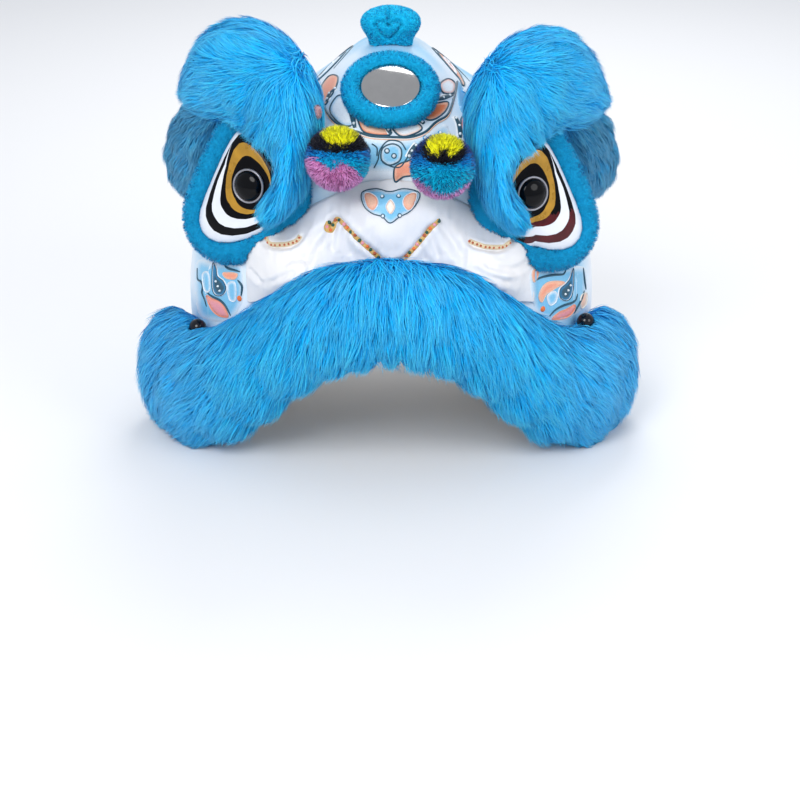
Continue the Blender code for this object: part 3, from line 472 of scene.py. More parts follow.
def lip_flow(place, normal):
    """Down over the front from the root edge, and outwards at the ends."""
    across = np.minimum(np.abs(place[:, 0]) / LIP_HALF_SPAN, 1)
    out = np.empty_like(place)
    out[:, 0] = place[:, 0] * 0.45
    out[:, 2] = place[:, 2] - (LIP_PARTING - LIP_PARTING_FALL * across**1.5)
    out[:, 1] = 0
    out = unit(out)
    out[:, 1] = -0.45 * normal[:, 2]
    return out


def brow_flow(side):
    """Down the inner leg, outwards and down along the arch, and up over its top edge."""

    def flow(place, normal):
        outward = np.clip((np.abs(place[:, 0]) - BROW_LEG) / BROW_LEG_SPAN, 0, 1.2)
        top = np.clip((place[:, 2] - BROW_TOP) / BROW_TOP_SPAN, 0, 1)
        out = np.empty_like(place)
        out[:, 0] = side * (outward + 0.35 * top)
        out[:, 1] = -0.35 * normal[:, 2] + 0.4 * top
        out[:, 2] = -(1 - 0.62 * outward) + 1.35 * top
        return out

    return flow


def ear_flow(side):
    """Out from the parting above the ear, and down."""
    parting = np.array([side * EAR_PARTING[0], EAR_PARTING[1], EAR_PARTING[2]])

    def flow(place, normal):
        out = unit(place - parting)
        out[:, 2] -= 0.4
        return out

    return flow


LIP_FUR = {
    "count": 39000, "tufts": 1000, "steps": 3, "length": 0.046, "width": 0.00125, "lift": 0.0065,
    "stand": 0.18, "droop": 0.002, "loose": 0.75, "clump": 0.28, "tuft_lean": 0.22, "stray": 0.15,
    "roll": 1.6, "glint": 1.1,
}
BROW_FUR = dict(LIP_FUR, count=24000, tufts=420, length=0.040, lift=0.006, width=0.00115)
EAR_FUR = dict(LIP_FUR, count=9000, tufts=150, length=0.030, lift=0.005, width=0.0011)


def long_fur(name, node, material, settings, flow, colour, neighbours, seed):
    pelt = Pelt(welded(node))
    piece = grow_fur(name, node, material, pelt, settings, flow, colour, neighbours, seed)


def make_fur():
    material = strand_material("blue_long_fur", (0.25, 0.65, 1.0, 1))
    shell = node_tree("head_shell")
    nose = node_tree("nose")
    long_fur("lip_long_fur", "lip_fur", material, LIP_FUR, lip_flow, blue_fur_colour, [shell, nose], 11)
    for label, side in SIDES:
        eye = node_tree(f"eye_plate_{label}", f"eye_frame_{label}")
        long_fur(f"brow_long_fur_{label}", f"brow_{label}", material, BROW_FUR, brow_flow(side),
                 blue_fur_colour, [shell, nose, eye], 21 + side)
        long_fur(f"ear_long_fur_{label}", f"ear_{label}", material, EAR_FUR, ear_flow(side),
                 ear_fur_colour, [shell], 31 + side)


# Rounded copies of the CAD nodes

def smooth_copy(node_name, levels, sharp=math.pi):
    """A finer, rounded copy of a CAD node. Edges that turn by more than sharp stay."""
    build = welded(node_name)
    bmesh.ops.join_triangles(
        build,
        faces=build.faces,
        angle_face_threshold=math.radians(35),
        angle_shape_threshold=math.radians(50),
    )
    crease = build.edges.layers.float.new("crease_edge")
    for edge in build.edges:
        if edge.is_manifold and edge.calc_face_angle(0) > sharp:
            edge[crease] = 1
    rough = bpy.data.meshes.new("rough")
    build.to_mesh(rough)
    build.free()
    holder = bpy.data.objects.new("rough", rough)
    bpy.context.scene.collection.objects.link(holder)
    smoother = holder.modifiers.new("smooth", "SUBSURF")
    smoother.levels = levels
    bpy.context.view_layer.update()
    smooth = bpy.data.meshes.new_from_object(holder.evaluated_get(bpy.context.evaluated_depsgraph_get()))
    bpy.data.objects.remove(holder)
    smooth.polygons.foreach_set("use_smooth", [True] * len(smooth.polygons))
    return smooth


def arrays_of(mesh):
    """A mesh's points and point normals."""
    points = np.empty(len(mesh.vertices) * 3)
    mesh.vertices.foreach_get("co", points)
    normals = np.array([tuple(v.normal) for v in mesh.vertices])
    return points.reshape(-1, 3), normals


def set_points(mesh, points):
    mesh.vertices.foreach_set("co", points.reshape(-1))
    mesh.update()


def distance_to_path(places, path):
    """How far each place is from a path, and how far along the path it is."""
    best = np.full(len(places), 1e9)
    share = np.zeros(len(places))
    path = [np.array(tuple(p)[:2], float) for p in path]
    for k, (a, b) in enumerate(zip(path, path[1:])):
        side = b - a
        at = np.clip(((places - a) @ side) / max(side @ side, 1e-12), 0, 1)
        gap = np.linalg.norm(places - a - at[:, None] * side, axis=1)
        nearer = gap < best
        best[nearer] = gap[nearer]
        share[nearer] = ((k + at) / (len(path) - 1))[nearer]
    return best, share


def pelt_of(mesh):
    build = bmesh.new()
    build.from_mesh(mesh)
    return Pelt(build)


def lathe(name, profile, middle, right, up, facing, steps=48):
    """A profile of radius and height pairs turned about the facing direction. A radius of 0 closes it."""
    points, rows, faces = [], [], []
    for radius, height in profile:
        row = []
        count = 1 if radius == 0 else steps
        for k in range(count):
            turn = 2 * math.pi * k / steps
            row.append(len(points))
            points.append(
                middle + right * (radius * math.cos(turn)) + up * (radius * math.sin(turn)) + facing * height
            )
        rows.append(row)
    pairs = list(zip(rows, rows[1:]))
    if profile[0][0] and profile[-1][0]:
        pairs.append((rows[-1], rows[0]))
    for here, there in pairs:
        for k in range(steps):
            below = [here[k % len(here)], here[(k + 1) % len(here)]]
            above = [there[(k + 1) % len(there)], there[k % len(there)]]
            corners = list(dict.fromkeys(below + above))
            if len(corners) > 2:
                faces.append(corners)
    build = bmesh.new()
    build.from_mesh(mesh_of(name, points, faces))
    bmesh.ops.recalc_face_normals(build, faces=build.faces)
    mesh = bpy.data.meshes.new(name)
    build.to_mesh(mesh)
    build.free()
    return mesh


# Short plush: the eye frames, the mirror's ring and the horn

PLUSH = {
    "count": 20000, "tufts": 2000, "steps": 1, "length": 0.0036, "width": 0.0008, "lift": 0.0, "stand": 0.9,
    "droop": 0.0, "loose": 1.0, "clump": 0.15, "tuft_lean": 0.5, "stray": 0.6, "roll": 1.6, "glint": 0.6,
    "clear": 0.0008, "own_normal": 0.6,
}
FRAME_PILE = dict(PLUSH, count=26000)
RING_PILE = dict(PLUSH, clear=0.003)
HORN_PILE = dict(PLUSH, count=24000, length=0.0018, width=0.0007)


def no_flow(place, normal):
    return np.zeros_like(place)


# Short pile is darker at the root, as painted shade between the hairs, and paler at the tips of the brighter
# hairs, as a painted highlight.
def plush_colour(deep, clear, pale):
    def colour(path, share, strand_tone, tuft_tone, rng):
        share = np.broadcast_to(share, path.shape[:2])[:, :, None]
        blend = (0.25 + 0.75 * share) * (0.6 + 0.4 * strand_tone)[:, None, None]
        tone = deep + (clear - deep) * np.minimum(blend * 1.3, 1)
        tone = tone + (pale - clear) * np.maximum(blend - 0.8, 0) * 2
        return np.clip(tone * (0.86 + 0.22 * tuft_tone)[:, None, None], 0, 1)

    return colour


# Each plush's colours: at the root, painted shade; along the hair; and at the tip, a painted highlight.
FRAME_PLUSH = (np.array([0.002, 0.32, 0.62]), np.array([0.003, 0.42, 0.76]), np.array([0.03, 0.52, 0.86]))
RING_PLUSH = (np.array([0.002, 0.44, 0.78]), np.array([0.003, 0.53, 0.88]), np.array([0.04, 0.62, 0.95]))
HORN_PLUSH = (np.array([0.003, 0.58, 0.95]), np.array([0.006, 0.68, 1.0]), np.array([0.10, 0.80, 1.0]))


# Folds of the horn's front, by points of the photograph: a heart-shaped pad between two lobes.
HORN_FOLDS = (
    {
        "path": [(374, 25), (376, 20), (382, 20), (388, 25), (394, 20), (400, 20), (402, 25)],
        "width": 1.5,
        "depth": 0.006,
    },
    {"path": [(374, 25), (379, 33), (388, 40), (397, 33), (402, 25)], "width": 1.4, "depth": 0.0045},
    {"path": [(388, 4), (388, 12), (388, 24)], "width": 2.2, "depth": 0.007},
)


def folded_horn():
    """A rounded copy of the horn with the folds pressed into its front."""
    horn = smooth_copy("horn", 3)
    points, normals = arrays_of(horn)
    places = picture_places(points)
    fold = np.zeros(len(points))
    for row in HORN_FOLDS:
        gap, _ = distance_to_path(places, row["path"])
        fold += row["depth"] * np.exp(-((gap / row["width"]) ** 2))
    front = np.clip(-normals[:, 1] * 2.5, 0, 1)
    set_points(horn, points - normals * (fold * front)[:, None])
    return horn


def short_plush(name, node, material, mesh, settings, tones, neighbours, seed):
    pelt, colour = pelt_of(mesh), plush_colour(*tones)
    piece = grow_fur(name, node, material, pelt, settings, no_flow, colour, neighbours, seed)


def make_plush():
    material = strand_material("blue_short_plush", (0.45, 0.75, 1.0, 1))
    for label, side in SIDES:
        node = f"eye_frame_{label}"
        short_plush(f"eye_frame_plush_{label}", node, material, smooth_copy(node, 1), FRAME_PILE, FRAME_PLUSH,
                    [node_tree(f"brow_{label}")], 41 + side)
    ring = smooth_copy("mirror_ring", 1)
    short_plush("mirror_ring_plush", "mirror_ring", material, ring, RING_PILE, RING_PLUSH,
                [node_tree("mirror")], 45)
    short_plush("horn_plush", "horn", material, folded_horn(), HORN_PILE, HORN_PLUSH, [], 46)


# Eyes

EYE_TURN_STEPS = 96
EYE_FINISHES = ("black", "gold", "black", "white", "black", "white")
EYE_KINDS = ("black", "gold", "white", "maroon")
# Where one painted band ends and the next begins, as shares of the way from the pupil's rim to the frame.
# Turns count from outwards over upwards.
EYE_BANDS = (
    {"turn": 0, "ends": (0.04, 0.27, 0.42, 0.65, 0.82)},
    {"turn": 30, "ends": (0.09, 0.38, 0.53, 0.63, 0.81)},
    {"turn": 60, "ends": (0.22, 0.62, 0.85, 0.85, 0.85)},
    {"turn": 90, "ends": (0.33, 0.66, 0.88, 0.88, 0.88)},
    {"turn": 135, "ends": (0.30, 0.52, 0.74, 0.74, 0.88)},
    {"turn": 180, "ends": (0.30, 0.30, 0.60, 0.70, 0.90)},
    {"turn": 225, "ends": (0.25, 0.30, 0.45, 0.68, 0.88)},
    {"turn": 270, "ends": (0.14, 0.28, 0.42, 0.66, 0.86)},
    {"turn": 315, "ends": (0.04, 0.185, 0.35, 0.57, 0.76)},
    {"turn": 360, "ends": (0.04, 0.27, 0.42, 0.65, 0.82)},
)
PUPIL_RADIUS = 0.0185
PUPIL_RIM_RADIUS = 0.0238
PUPIL_RING_RADIUS = 0.0216
PUPIL_DOME = 0.009
PUPIL_FOOT = 0.0013
EYE_CROWN = 0.008
EYE_GAP = 0.0002
EYE_REACH_AT_MOST = 0.07
# The plate's own edge goes back in two steps.
EYE_EDGE_DEPTHS = (0.004, 0.012)
# The tinted part of the right eye's black, from its middle upwards and outwards.
MAROON_BELOW = -0.030
MAROON_BEYOND = -0.012


def eye_axes(label, side):
    """The middle of an eye on its plate, and its outward, upward and facing directions."""
    level = math.cos(EYE_PITCH)
    facing = Vector((side * math.sin(EYE_YAW) * level, -math.cos(EYE_YAW) * level, math.sin(EYE_PITCH)))
    out = Vector((side * math.cos(EYE_YAW), math.sin(EYE_YAW), 0))
    up = facing.cross(out) * side
    points, _ = arrays_of(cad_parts[f"pupil_rim_{label}"].data)
    middle = Vector((points.min(axis=0) + points.max(axis=0)) / 2)
    lowest = min((Vector(p) - middle).dot(facing) for p in points)
    return middle + facing * lowest, out, up, facing


def eye_plate(label, side, materials):
    middle, out, up, facing = eye_axes(label, side)
    frame_tree = node_tree(f"eye_frame_{label}")
    turns = np.arange(EYE_TURN_STEPS) * 360 / EYE_TURN_STEPS
    reach = []
    for turn in np.radians(turns):
        direction = out * math.cos(turn) + up * math.sin(turn)
        _, _, _, distance = frame_tree.ray_cast(middle - facing * (EYE_CROWN + 0.001), direction)
        reach.append((distance or EYE_REACH_AT_MOST) - EYE_GAP)
    reach = np.array(reach)
    band_turns = [row["turn"] for row in EYE_BANDS]
    ends = [np.zeros(EYE_TURN_STEPS)]
    for k in range(len(EYE_FINISHES) - 1):
        ends.append(np.interp(turns, band_turns, [row["ends"][k] for row in EYE_BANDS]))
    ends.append(np.ones(EYE_TURN_STEPS))
    points, faces, kinds = [], [], []

    def ring(radii):
        start = len(points)
        for turn, radius, outer in zip(np.radians(turns), radii, reach):
            share = max(radius / outer - 0.6, 0) / 0.4
            rise = -EYE_CROWN * min(share, 1) ** 2.2
            points.append(middle + (out * math.cos(turn) + up * math.sin(turn)) * radius + facing * rise)
        return list(range(start, start + EYE_TURN_STEPS))

    def join(here, there, kind):
        for k in range(EYE_TURN_STEPS):
            after = (k + 1) % EYE_TURN_STEPS
            faces.append((here[k], here[after], there[after], there[k]))
            kinds.append(kind)

    inner = PUPIL_RADIUS * 0.9
    previous = ring(np.full(EYE_TURN_STEPS, inner))
    centre = len(points)
    points.append(middle.copy())
    for k in range(EYE_TURN_STEPS):
        faces.append((centre, previous[k], previous[(k + 1) % EYE_TURN_STEPS]))
        kinds.append(0)
    for band, finish in enumerate(EYE_FINISHES):
        steps = 6 if band == len(EYE_FINISHES) - 1 else 3
        for step in range(1, steps + 1):
            share = ends[band] + (ends[band + 1] - ends[band]) * step / steps
            following = ring(PUPIL_RIM_RADIUS + (reach - PUPIL_RIM_RADIUS) * share)
            join(previous, following, EYE_KINDS.index(finish))
            previous = following
    for depth in EYE_EDGE_DEPTHS:
        start = len(points)
        points.extend([points[i] - facing * depth for i in previous])
        lower = list(range(start, start + EYE_TURN_STEPS))
        join(previous, lower, EYE_KINDS.index("white"))
        previous = lower
    faces.append(previous)
    kinds.append(EYE_KINDS.index("white"))
    if label == "right":
        for k, face in enumerate(faces):
            if EYE_KINDS[kinds[k]] == "black" and is_maroon(points, face, middle, out, up):
                kinds[k] = EYE_KINDS.index("maroon")
    build = bmesh.new()
    build.from_mesh(mesh_of("eye", points, faces, kinds))
    bmesh.ops.remove_doubles(build, verts=build.verts, dist=0.00002)
    bmesh.ops.dissolve_degenerate(build, edges=build.edges, dist=0.00002)
    bmesh.ops.recalc_face_normals(build, faces=build.faces)
    mesh = bpy.data.meshes.new(f"eye_painted_{label}")
    build.to_mesh(mesh)
    build.free()
    mesh.polygons.foreach_set("use_smooth", [True] * len(mesh.polygons))
    return new_piece(f"eye_painted_{label}", mesh, materials, [f"eye_plate_{label}"])


def is_maroon(points, face, middle, out, up):
    """The lower black of the right eye is tinted maroon."""
    spot = sum((points[i] for i in face), Vector()) / len(face) - middle
    return spot.dot(up) < MAROON_BELOW and spot.dot(out) > MAROON_BEYOND


def make_eyes():
    black = gloss_material("black_lacquer", linear(5, 5, 9), 0.22, coat=0.10, specular=0.08)
    gold = gloss_material("gold_paint", linear(188, 138, 26), 0.30, coat=0.4, metallic=0.2, mottle=0.25)
    white = gloss_material("white_lacquer", linear(228, 231, 238), 0.18, coat=0.4, mottle=0.04)
    maroon = gloss_material("maroon_lacquer", linear(84, 14, 22), 0.18, coat=0.25, mottle=0.5, specular=0.2)
    pupil = gloss_material("pupil_gloss", linear(4, 5, 9), 0.10, coat=0.12, specular=0.10)
    rim = gloss_material("pupil_rim_grey", linear(150, 150, 158), 0.28, coat=0.3, metallic=0.4, mottle=0.15)
    for label, side in SIDES:
        eye_plate(label, side, [black, gold, white, maroon])
        middle, out, up, facing = eye_axes(label, side)
        profile = [(0, PUPIL_DOME + PUPIL_FOOT)]
        for step in range(1, 13):
            turn = math.pi / 2 * step / 12
            profile.append((PUPIL_RADIUS * math.sin(turn), PUPIL_FOOT + PUPIL_DOME * math.cos(turn)))
        profile += [(PUPIL_RADIUS, 0.0004), (0, 0.0004)]
        dome = lathe("pupil", profile, middle, out, up, facing)
        new_piece(f"pupil_dome_{label}", dome, [pupil], [f"pupil_{label}"])
        inner = PUPIL_RADIUS + 0.0003
        width = PUPIL_RING_RADIUS - inner
        profile = [(inner, 0.0003), (inner, 0.0022)]
        for step in range(0, 9):
            turn = math.pi * step / 8
            profile.append((inner + width * (0.5 - 0.48 * math.cos(turn)), 0.0024 + 0.0012 * math.sin(turn)))
        profile += [(PUPIL_RING_RADIUS, 0.0018), (PUPIL_RING_RADIUS, 0.0003)]
        ring = lathe("rim", profile, middle, out, up, facing)
        new_piece(f"pupil_ring_{label}", ring, [rim], [f"pupil_rim_{label}"])


# The mirror, the studs, the small ball and the posts

MIRROR_TILT = math.radians(29)
MIRROR_RADIUS = 0.0375
MIRROR_CROWN = 0.0045
MIRROR_PROUD = 0.0005
MIRROR_BACK = -0.012


def make_mirror():
    chrome = gloss_material("mirror_chrome", (0.47, 0.46, 0.455, 1), 0.10, metallic=1.0, mottle=0.05)
    facing = Vector((0, -math.sin(MIRROR_TILT), math.cos(MIRROR_TILT)))
    right = Vector((1, 0, 0))
    up = facing.cross(right)
    points, _ = arrays_of(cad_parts["mirror"].data)
    top = max((Vector(p) for p in points), key=lambda p: p.dot(facing))
    middle = top - facing * (MIRROR_CROWN - MIRROR_PROUD)
    profile = [(0, MIRROR_CROWN)]
    for step in range(1, 17):
        share = step / 16
        profile.append((MIRROR_RADIUS * share, MIRROR_CROWN * (1 - share**2.4)))
    profile += [(MIRROR_RADIUS, MIRROR_BACK), (0, MIRROR_BACK)]
    dome = lathe("mirror_dome", profile, middle, right, up, facing, 72)
    new_piece("mirror_dome", dome, [chrome], ["mirror"])


def ball_mesh(centre, radii, rows=20, steps=32):
    """A smooth egg with half-sizes across, deep and high."""
    profile = []
    for row in range(rows + 1):
        turn = math.pi * row / rows
        profile.append((0 if row in (0, rows) else math.sin(turn), math.cos(turn)))
    mesh = lathe("ball", profile, Vector(), Vector((1, 0, 0)), Vector((0, 1, 0)), Vector((0, 0, 1)), steps)
    for vertex in mesh.vertices:
        vertex.co = centre + Vector((vertex.co.x * radii[0], vertex.co.y * radii[1], vertex.co.z * radii[2]))
    mesh.update()
    return mesh


def middle_and_half(name):
    """The middle and the half-sizes of a CAD node's box."""
    points, _ = arrays_of(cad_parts[name].data)
    low, high = Vector(points.min(axis=0)), Vector(points.max(axis=0))
    return (low + high) / 2, (high - low) / 2


# The felt's colours: at the root, painted shade; along the hair; and at the tip, a painted highlight.
FELT_PINK = (np.array([0.55, 0.30, 0.34]), np.array([0.82, 0.52, 0.55]), np.array([0.95, 0.75, 0.76]))
FELT_PILE = dict(PLUSH, count=900, tufts=60, length=0.0018, width=0.0004)


def make_small_parts():
    black = gloss_material("stud_gloss", linear(8, 12, 24), 0.12, coat=0.3, specular=0.2)
    steel = gloss_material("post_steel", (0.62, 0.63, 0.65, 1), 0.28, metallic=1.0, mottle=0.12)
    for label, _ in SIDES:
        centre, half = middle_and_half(f"lip_stud_{label}")
        new_piece(f"stud_{label}", ball_mesh(centre, half), [black], [f"lip_stud_{label}"])
        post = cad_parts[f"pompom_post_{label}"]
        post.data.materials.clear()
        post.data.materials.append(steel)
    centre, half = middle_and_half("small_ball")
    pink = strand_material("pink_felt", (1.0, 0.8, 0.85, 1))
    pelt = pelt_of(ball_mesh(centre, half, 12, 16))
    colour = plush_colour(*FELT_PINK)
    grow_fur("small_ball_felt", "small_ball", pink, pelt, FELT_PILE, no_flow, colour, [], 51)


# Pompoms

POMPOM_RADIUS = 0.040
POMPOM_PILE = 0.0065
POMPOM = dict(
    PLUSH, count=20000, tufts=6000, steps=2, length=0.0105, width=0.0018, stand=8.0, clump=0.1, tuft_lean=0.7,
    stray=0.7, clear=0.0001, own_normal=0.3,
)
POMPOM_CORE = POMPOM_RADIUS - POMPOM_PILE + 0.001
POMPOM_TRIM = POMPOM_RADIUS + 0.0025
POMPOM_BLUR = 0.035
YELLOW = np.array([1.0, 0.90, 0.01])
BLACK_PILE = np.array([0.002, 0.003, 0.012])
NAVY = np.array([0.002, 0.045, 0.26])
AZURE = np.array([0.0, 0.26, 0.70])
CYAN = np.array([0.0, 0.56, 0.88])
PINK = np.array([1.0, 0.38, 0.76])
# The patches of each pompom as the camera sees it, in shares of its radius to the right and upwards.
POMPOM_PATCHES = {
    "left": {
        "yellow": (0.08, 0.70, 0.56, 0.38), "black": (0.05, 0.45, 0.95, 0.42), "notch": 0.0,
        "pink_right": (-1, -0.7, -0.45, -0.14, 0.05, 0.25, 0.55, 0.8, 1),
        "pink_up": (-0.02, -0.10, -0.30, -0.52, -0.33, -0.28, -0.42, -0.62, -0.60),
    },
    "right": {
        "yellow": (0.05, 0.62, 0.56, 0.42), "black": (0.02, 0.42, 0.72, 0.50), "notch": 0.15,
        "pink_right": (-1, -0.7, -0.3, 0.1, 0.5, 0.9),
        "pink_up": (-0.30, -0.55, -0.85, -0.95, -0.80, -0.45),
    },
}


def pompom_colour(centre, patches):
    right, up = np.array(CAMERA_TURN.col[0]), np.array(CAMERA_TURN.col[1])

    def in_oval(u, v, oval):
        return ((u - oval[0]) / oval[2]) ** 2 + ((v - oval[1]) / oval[3]) ** 2 < 1

    def colour(path, share, strand_tone, tuft_tone, rng):
        share = np.broadcast_to(share, path.shape[:2])[:, :, None]
        spot = unit(path[:, 0] - np.array(centre))
        u = spot @ right + rng.normal(size=len(path)) * POMPOM_BLUR
        v = spot @ up + rng.normal(size=len(path)) * POMPOM_BLUR
        depth = np.clip((0.45 - v) / 0.75, 0, 1)[:, None]
        upper = NAVY + (AZURE - NAVY) * depth * 2
        lower = AZURE + (CYAN - AZURE) * (depth * 2 - 1)
        tone = np.where(depth < 0.5, upper, lower)
        tone[in_oval(u, v, patches["black"])] = BLACK_PILE
        yellow = in_oval(u, v, patches["yellow"])
        if patches["notch"]:
            yellow &= ~((v < 0.42) & (np.abs(u - 0.02) < patches["notch"]))
        tone[yellow] = YELLOW
        pink = v < np.interp(u, patches["pink_right"], patches["pink_up"])
        tone[pink] = PINK
        # Darker at the root and brighter at the tip: painted shade between the strands.
        bright = (0.98 + 0.25 * share) * (0.88 + 0.18 * strand_tone)[:, None, None]
        bright = bright * (0.95 + 0.1 * tuft_tone)[:, None, None]
        return np.clip(tone[:, None] * bright, 0, 1)

    return colour


def make_pompoms():
    material = strand_material("pompom_pile", (0.9, 0.9, 1.0, 1))
    for label, side in SIDES:
        centre, _ = middle_and_half(f"pompom_{label}")
        pelt = pelt_of(ball_mesh(centre, (POMPOM_CORE, POMPOM_CORE, POMPOM_CORE)))
        settings = dict(POMPOM, trimmed_to=(centre, POMPOM_TRIM))
        colour = pompom_colour(centre, POMPOM_PATCHES[label])
        grow_fur(f"pompom_pile_{label}", f"pompom_{label}", material, pelt, settings, no_flow,
                 colour, [], 61 + side)


# The nose

# Seams and soft folds of the nose, by points of the photograph: the path, its half-width in those points,
# and its depth in metres.
NOSE_SEAMS = (
    ([(326, 228), (335, 218), (347, 228), (360, 241), (374, 253), (383, 262)], 2.6, 0.0035),
    ([(439, 220), (428, 231), (418, 244), (407, 256), (397, 265)], 2.6, 0.0035),
    ([(262, 236), (266, 244), (278, 247), (290, 246), (300, 240), (304, 233)], 2.4, 0.0035),
    ([(466, 240), (474, 246), (488, 249), (503, 249), (512, 243), (515, 236)], 2.4, 0.0035),
    ([(248, 268), (254, 275), (262, 284)], 2.0, 0.0022),
    ([(270, 283), (281, 277), (296, 271)], 2.4, 0.0016),
    ([(326, 228), (316, 240), (309, 252), (303, 262)], 4.2, 0.0030),
    ([(335, 219), (333, 235), (330, 252)], 3.6, 0.0026),
    ([(343, 226), (346, 241), (351, 256)], 3.6, 0.0026),
    ([(439, 220), (448, 234), (456, 246), (464, 260)], 4.2, 0.0030),
    ([(430, 230), (433, 245), (440, 258)], 3.6, 0.0026),
    ([(420, 243), (422, 252), (426, 261)], 3.4, 0.0022),
    ([(481, 262), (500, 269), (518, 268), (530, 261)], 3.2, 0.0030),
    ([(472, 268), (492, 277), (512, 283)], 3.0, 0.0026),
    ([(284, 262), (300, 258), (312, 262)], 3.4, 0.0026),
)


def make_nose():
    """Padded white satin. The folds are pressed into the surface, with soft puckers beside the seams."""
    mesh = smooth_copy("nose", 3, math.radians(75))
    points, normals = arrays_of(mesh)
    places = picture_places(points)
    sunk = np.zeros(len(points))
    pucker = np.zeros(len(points))
    for path, width, depth in NOSE_SEAMS:
        gap, share = distance_to_path(places, rounded(path, False, 4))
        ends = np.clip(np.minimum(share, 1 - share) * 8, 0.15, 1)
        sunk += depth * ends * np.exp(-((gap / width) ** 2))
        sunk -= 0.4 * depth * ends * np.exp(-(((gap - width * 2.2) / (width * 1.2)) ** 2))
        pucker = np.maximum(pucker, np.exp(-((gap / (width * 4)) ** 2)))
    wave = np.array([noise.noise(Vector(p) * 30) for p in points])
    fine = np.array([noise.noise(Vector((p[0] * 150, p[1] * 40, p[2] * 45))) for p in points])
    front = np.clip(-normals[:, 1] * 2, 0, 1)
    lift = wave * 0.0022 + fine * 0.0014 * (0.25 + pucker) - sunk
    points = points + normals * (lift * front)[:, None]
    set_points(mesh, points)
    light, shade = linear(236, 234, 234), linear(216, 219, 226)
    material = satin_material("white_padded_satin", light, shade, roughness=0.36)
    piece = new_piece("nose_padded", mesh, [material], ["nose"])
    return mesh


# The printed cover

def printed_satin(name, near, middle, far, scale=7.0):
    """Satin printed with soft clouds of white and light blue."""
    material, tree, shader = new_material(name)
    clouds = noise_node(tree, scale, 2.0)
    tone = ramp_node(tree, clouds.outputs["Fac"], [(0.34, near), (0.50, middle), (0.66, far)])
    tree.links.new(tone.outputs["Color"], shader.inputs["Base Color"])
    threads = noise_node(tree, 1300, 1.0, (1, 1, 0.12))
    creases = noise_node(tree, 26, 3.0, (1, 1, 0.5))
    both = add_node(tree, "ShaderNodeMath", operation="MULTIPLY_ADD")
    both.inputs[1].default_value = 6.0
    tree.links.new(creases.outputs["Fac"], both.inputs[0])
    tree.links.new(threads.outputs["Fac"], both.inputs[2])
    bump_node(tree, shader, both.outputs["Value"], 0.0005, 0.4)
    shader.inputs["Roughness"].default_value = 0.40
    shader.inputs["Sheen Weight"].default_value = 0.15
    return material


def make_shell():
    mesh = smooth_copy("head_shell", 2, math.radians(50))
    points, normals = arrays_of(mesh)
    inner = []
    for polygon in mesh.polygons:
        inward = Vector(SHELL_MIDDLE) - polygon.center
        inner.append(1 if polygon.normal.dot(inward) > 0 else 0)
    mesh.polygons.foreach_set("material_index", inner)
    wave = np.array([noise.noise(Vector(p) * 14) for p in points])
    outward = points - np.array(SHELL_MIDDLE)
    outside = (normals * unit(outward)).sum(axis=1) > 0.35
    lifted = points + normals * (np.maximum(wave, 0) * 0.0020 * outside)[:, None]
    lifted[:, 2] = np.maximum(lifted[:, 2], points[:, 2])
    set_points(mesh, lifted)
    white, pale, blue = linear(240, 244, 250), linear(214, 230, 243), linear(120, 194, 232)
    cover = printed_satin("printed_cover", white, pale, blue)
    cotton, shade = linear(216, 208, 196), linear(198, 190, 178)
    lining = satin_material("cotton_lining", cotton, shade, roughness=0.8, sheen=0.05)
    new_piece("cover", mesh, [cover, lining], ["head_shell"])
    return mesh


# What the camera sees, by points of the photograph

CAMERA_TURN = Matrix.Rotation(math.pi / 2 - CAMERA_DOWN, 3, "X")
PIXELS_A_RADIAN = CAMERA_LENS_MM / CAMERA_SENSOR_MM * PICTURE_SIZE
# How far the face is from the camera, which gives a point of the photograph its size there.
FACE_DISTANCE = 2.16
METRES_A_POINT = FACE_DISTANCE / PIXELS_A_RADIAN


def sight_line(across, down):
    """The direction from the camera through a point of the photograph."""
    local = Vector((across - PICTURE_SIZE / 2, PICTURE_SIZE / 2 - down, -PIXELS_A_RADIAN))
    return (CAMERA_TURN @ local).normalized()


def picture_places(points):
    """Where points of the scene are in the photograph."""
    local = (points - np.array(CAMERA_PLACE)) @ np.array(CAMERA_TURN)
    return np.stack(
        [
            PICTURE_SIZE / 2 - local[:, 0] / local[:, 2] * PIXELS_A_RADIAN,
            PICTURE_SIZE / 2 + local[:, 1] / local[:, 2] * PIXELS_A_RADIAN,
        ],
        axis=1,
    )


BESIDE_FACE = 2.2


def seat_in_picture(tree):
    """Seats a drawing on what the camera sees at each point of the photograph."""

    def seat(across, down):
        direction = sight_line(across, down)
        place, normal, _, _ = tree.ray_cast(CAMERA_PLACE, direction)
        if place is None:
            place, normal, _, _ = tree.find_nearest(CAMERA_PLACE + direction * BESIDE_FACE)
        return place, normal if normal.dot(direction) < 0 else -normal

    return seat


OUTSIDE = 0.6


def seat_on_side(tree, place, facing):
    """Seats a drawing in metres on the surface round a place, seen along the facing direction."""
    facing = Vector(facing).normalized()
    right = Vector((0, 0, 1)).cross(facing).normalized()
    up = facing.cross(right)
    start = Vector(place) + facing * OUTSIDE

    def seat(u, v):
        origin = start + right * u + up * v
        place, normal, _, _ = tree.ray_cast(origin, -facing)
        if place is None:
            place, normal, _, _ = tree.find_nearest(origin - facing * OUTSIDE)
        return place, normal if normal.dot(facing) > 0 else -normal

    return seat


# Trim: patches, raised lines and small domes

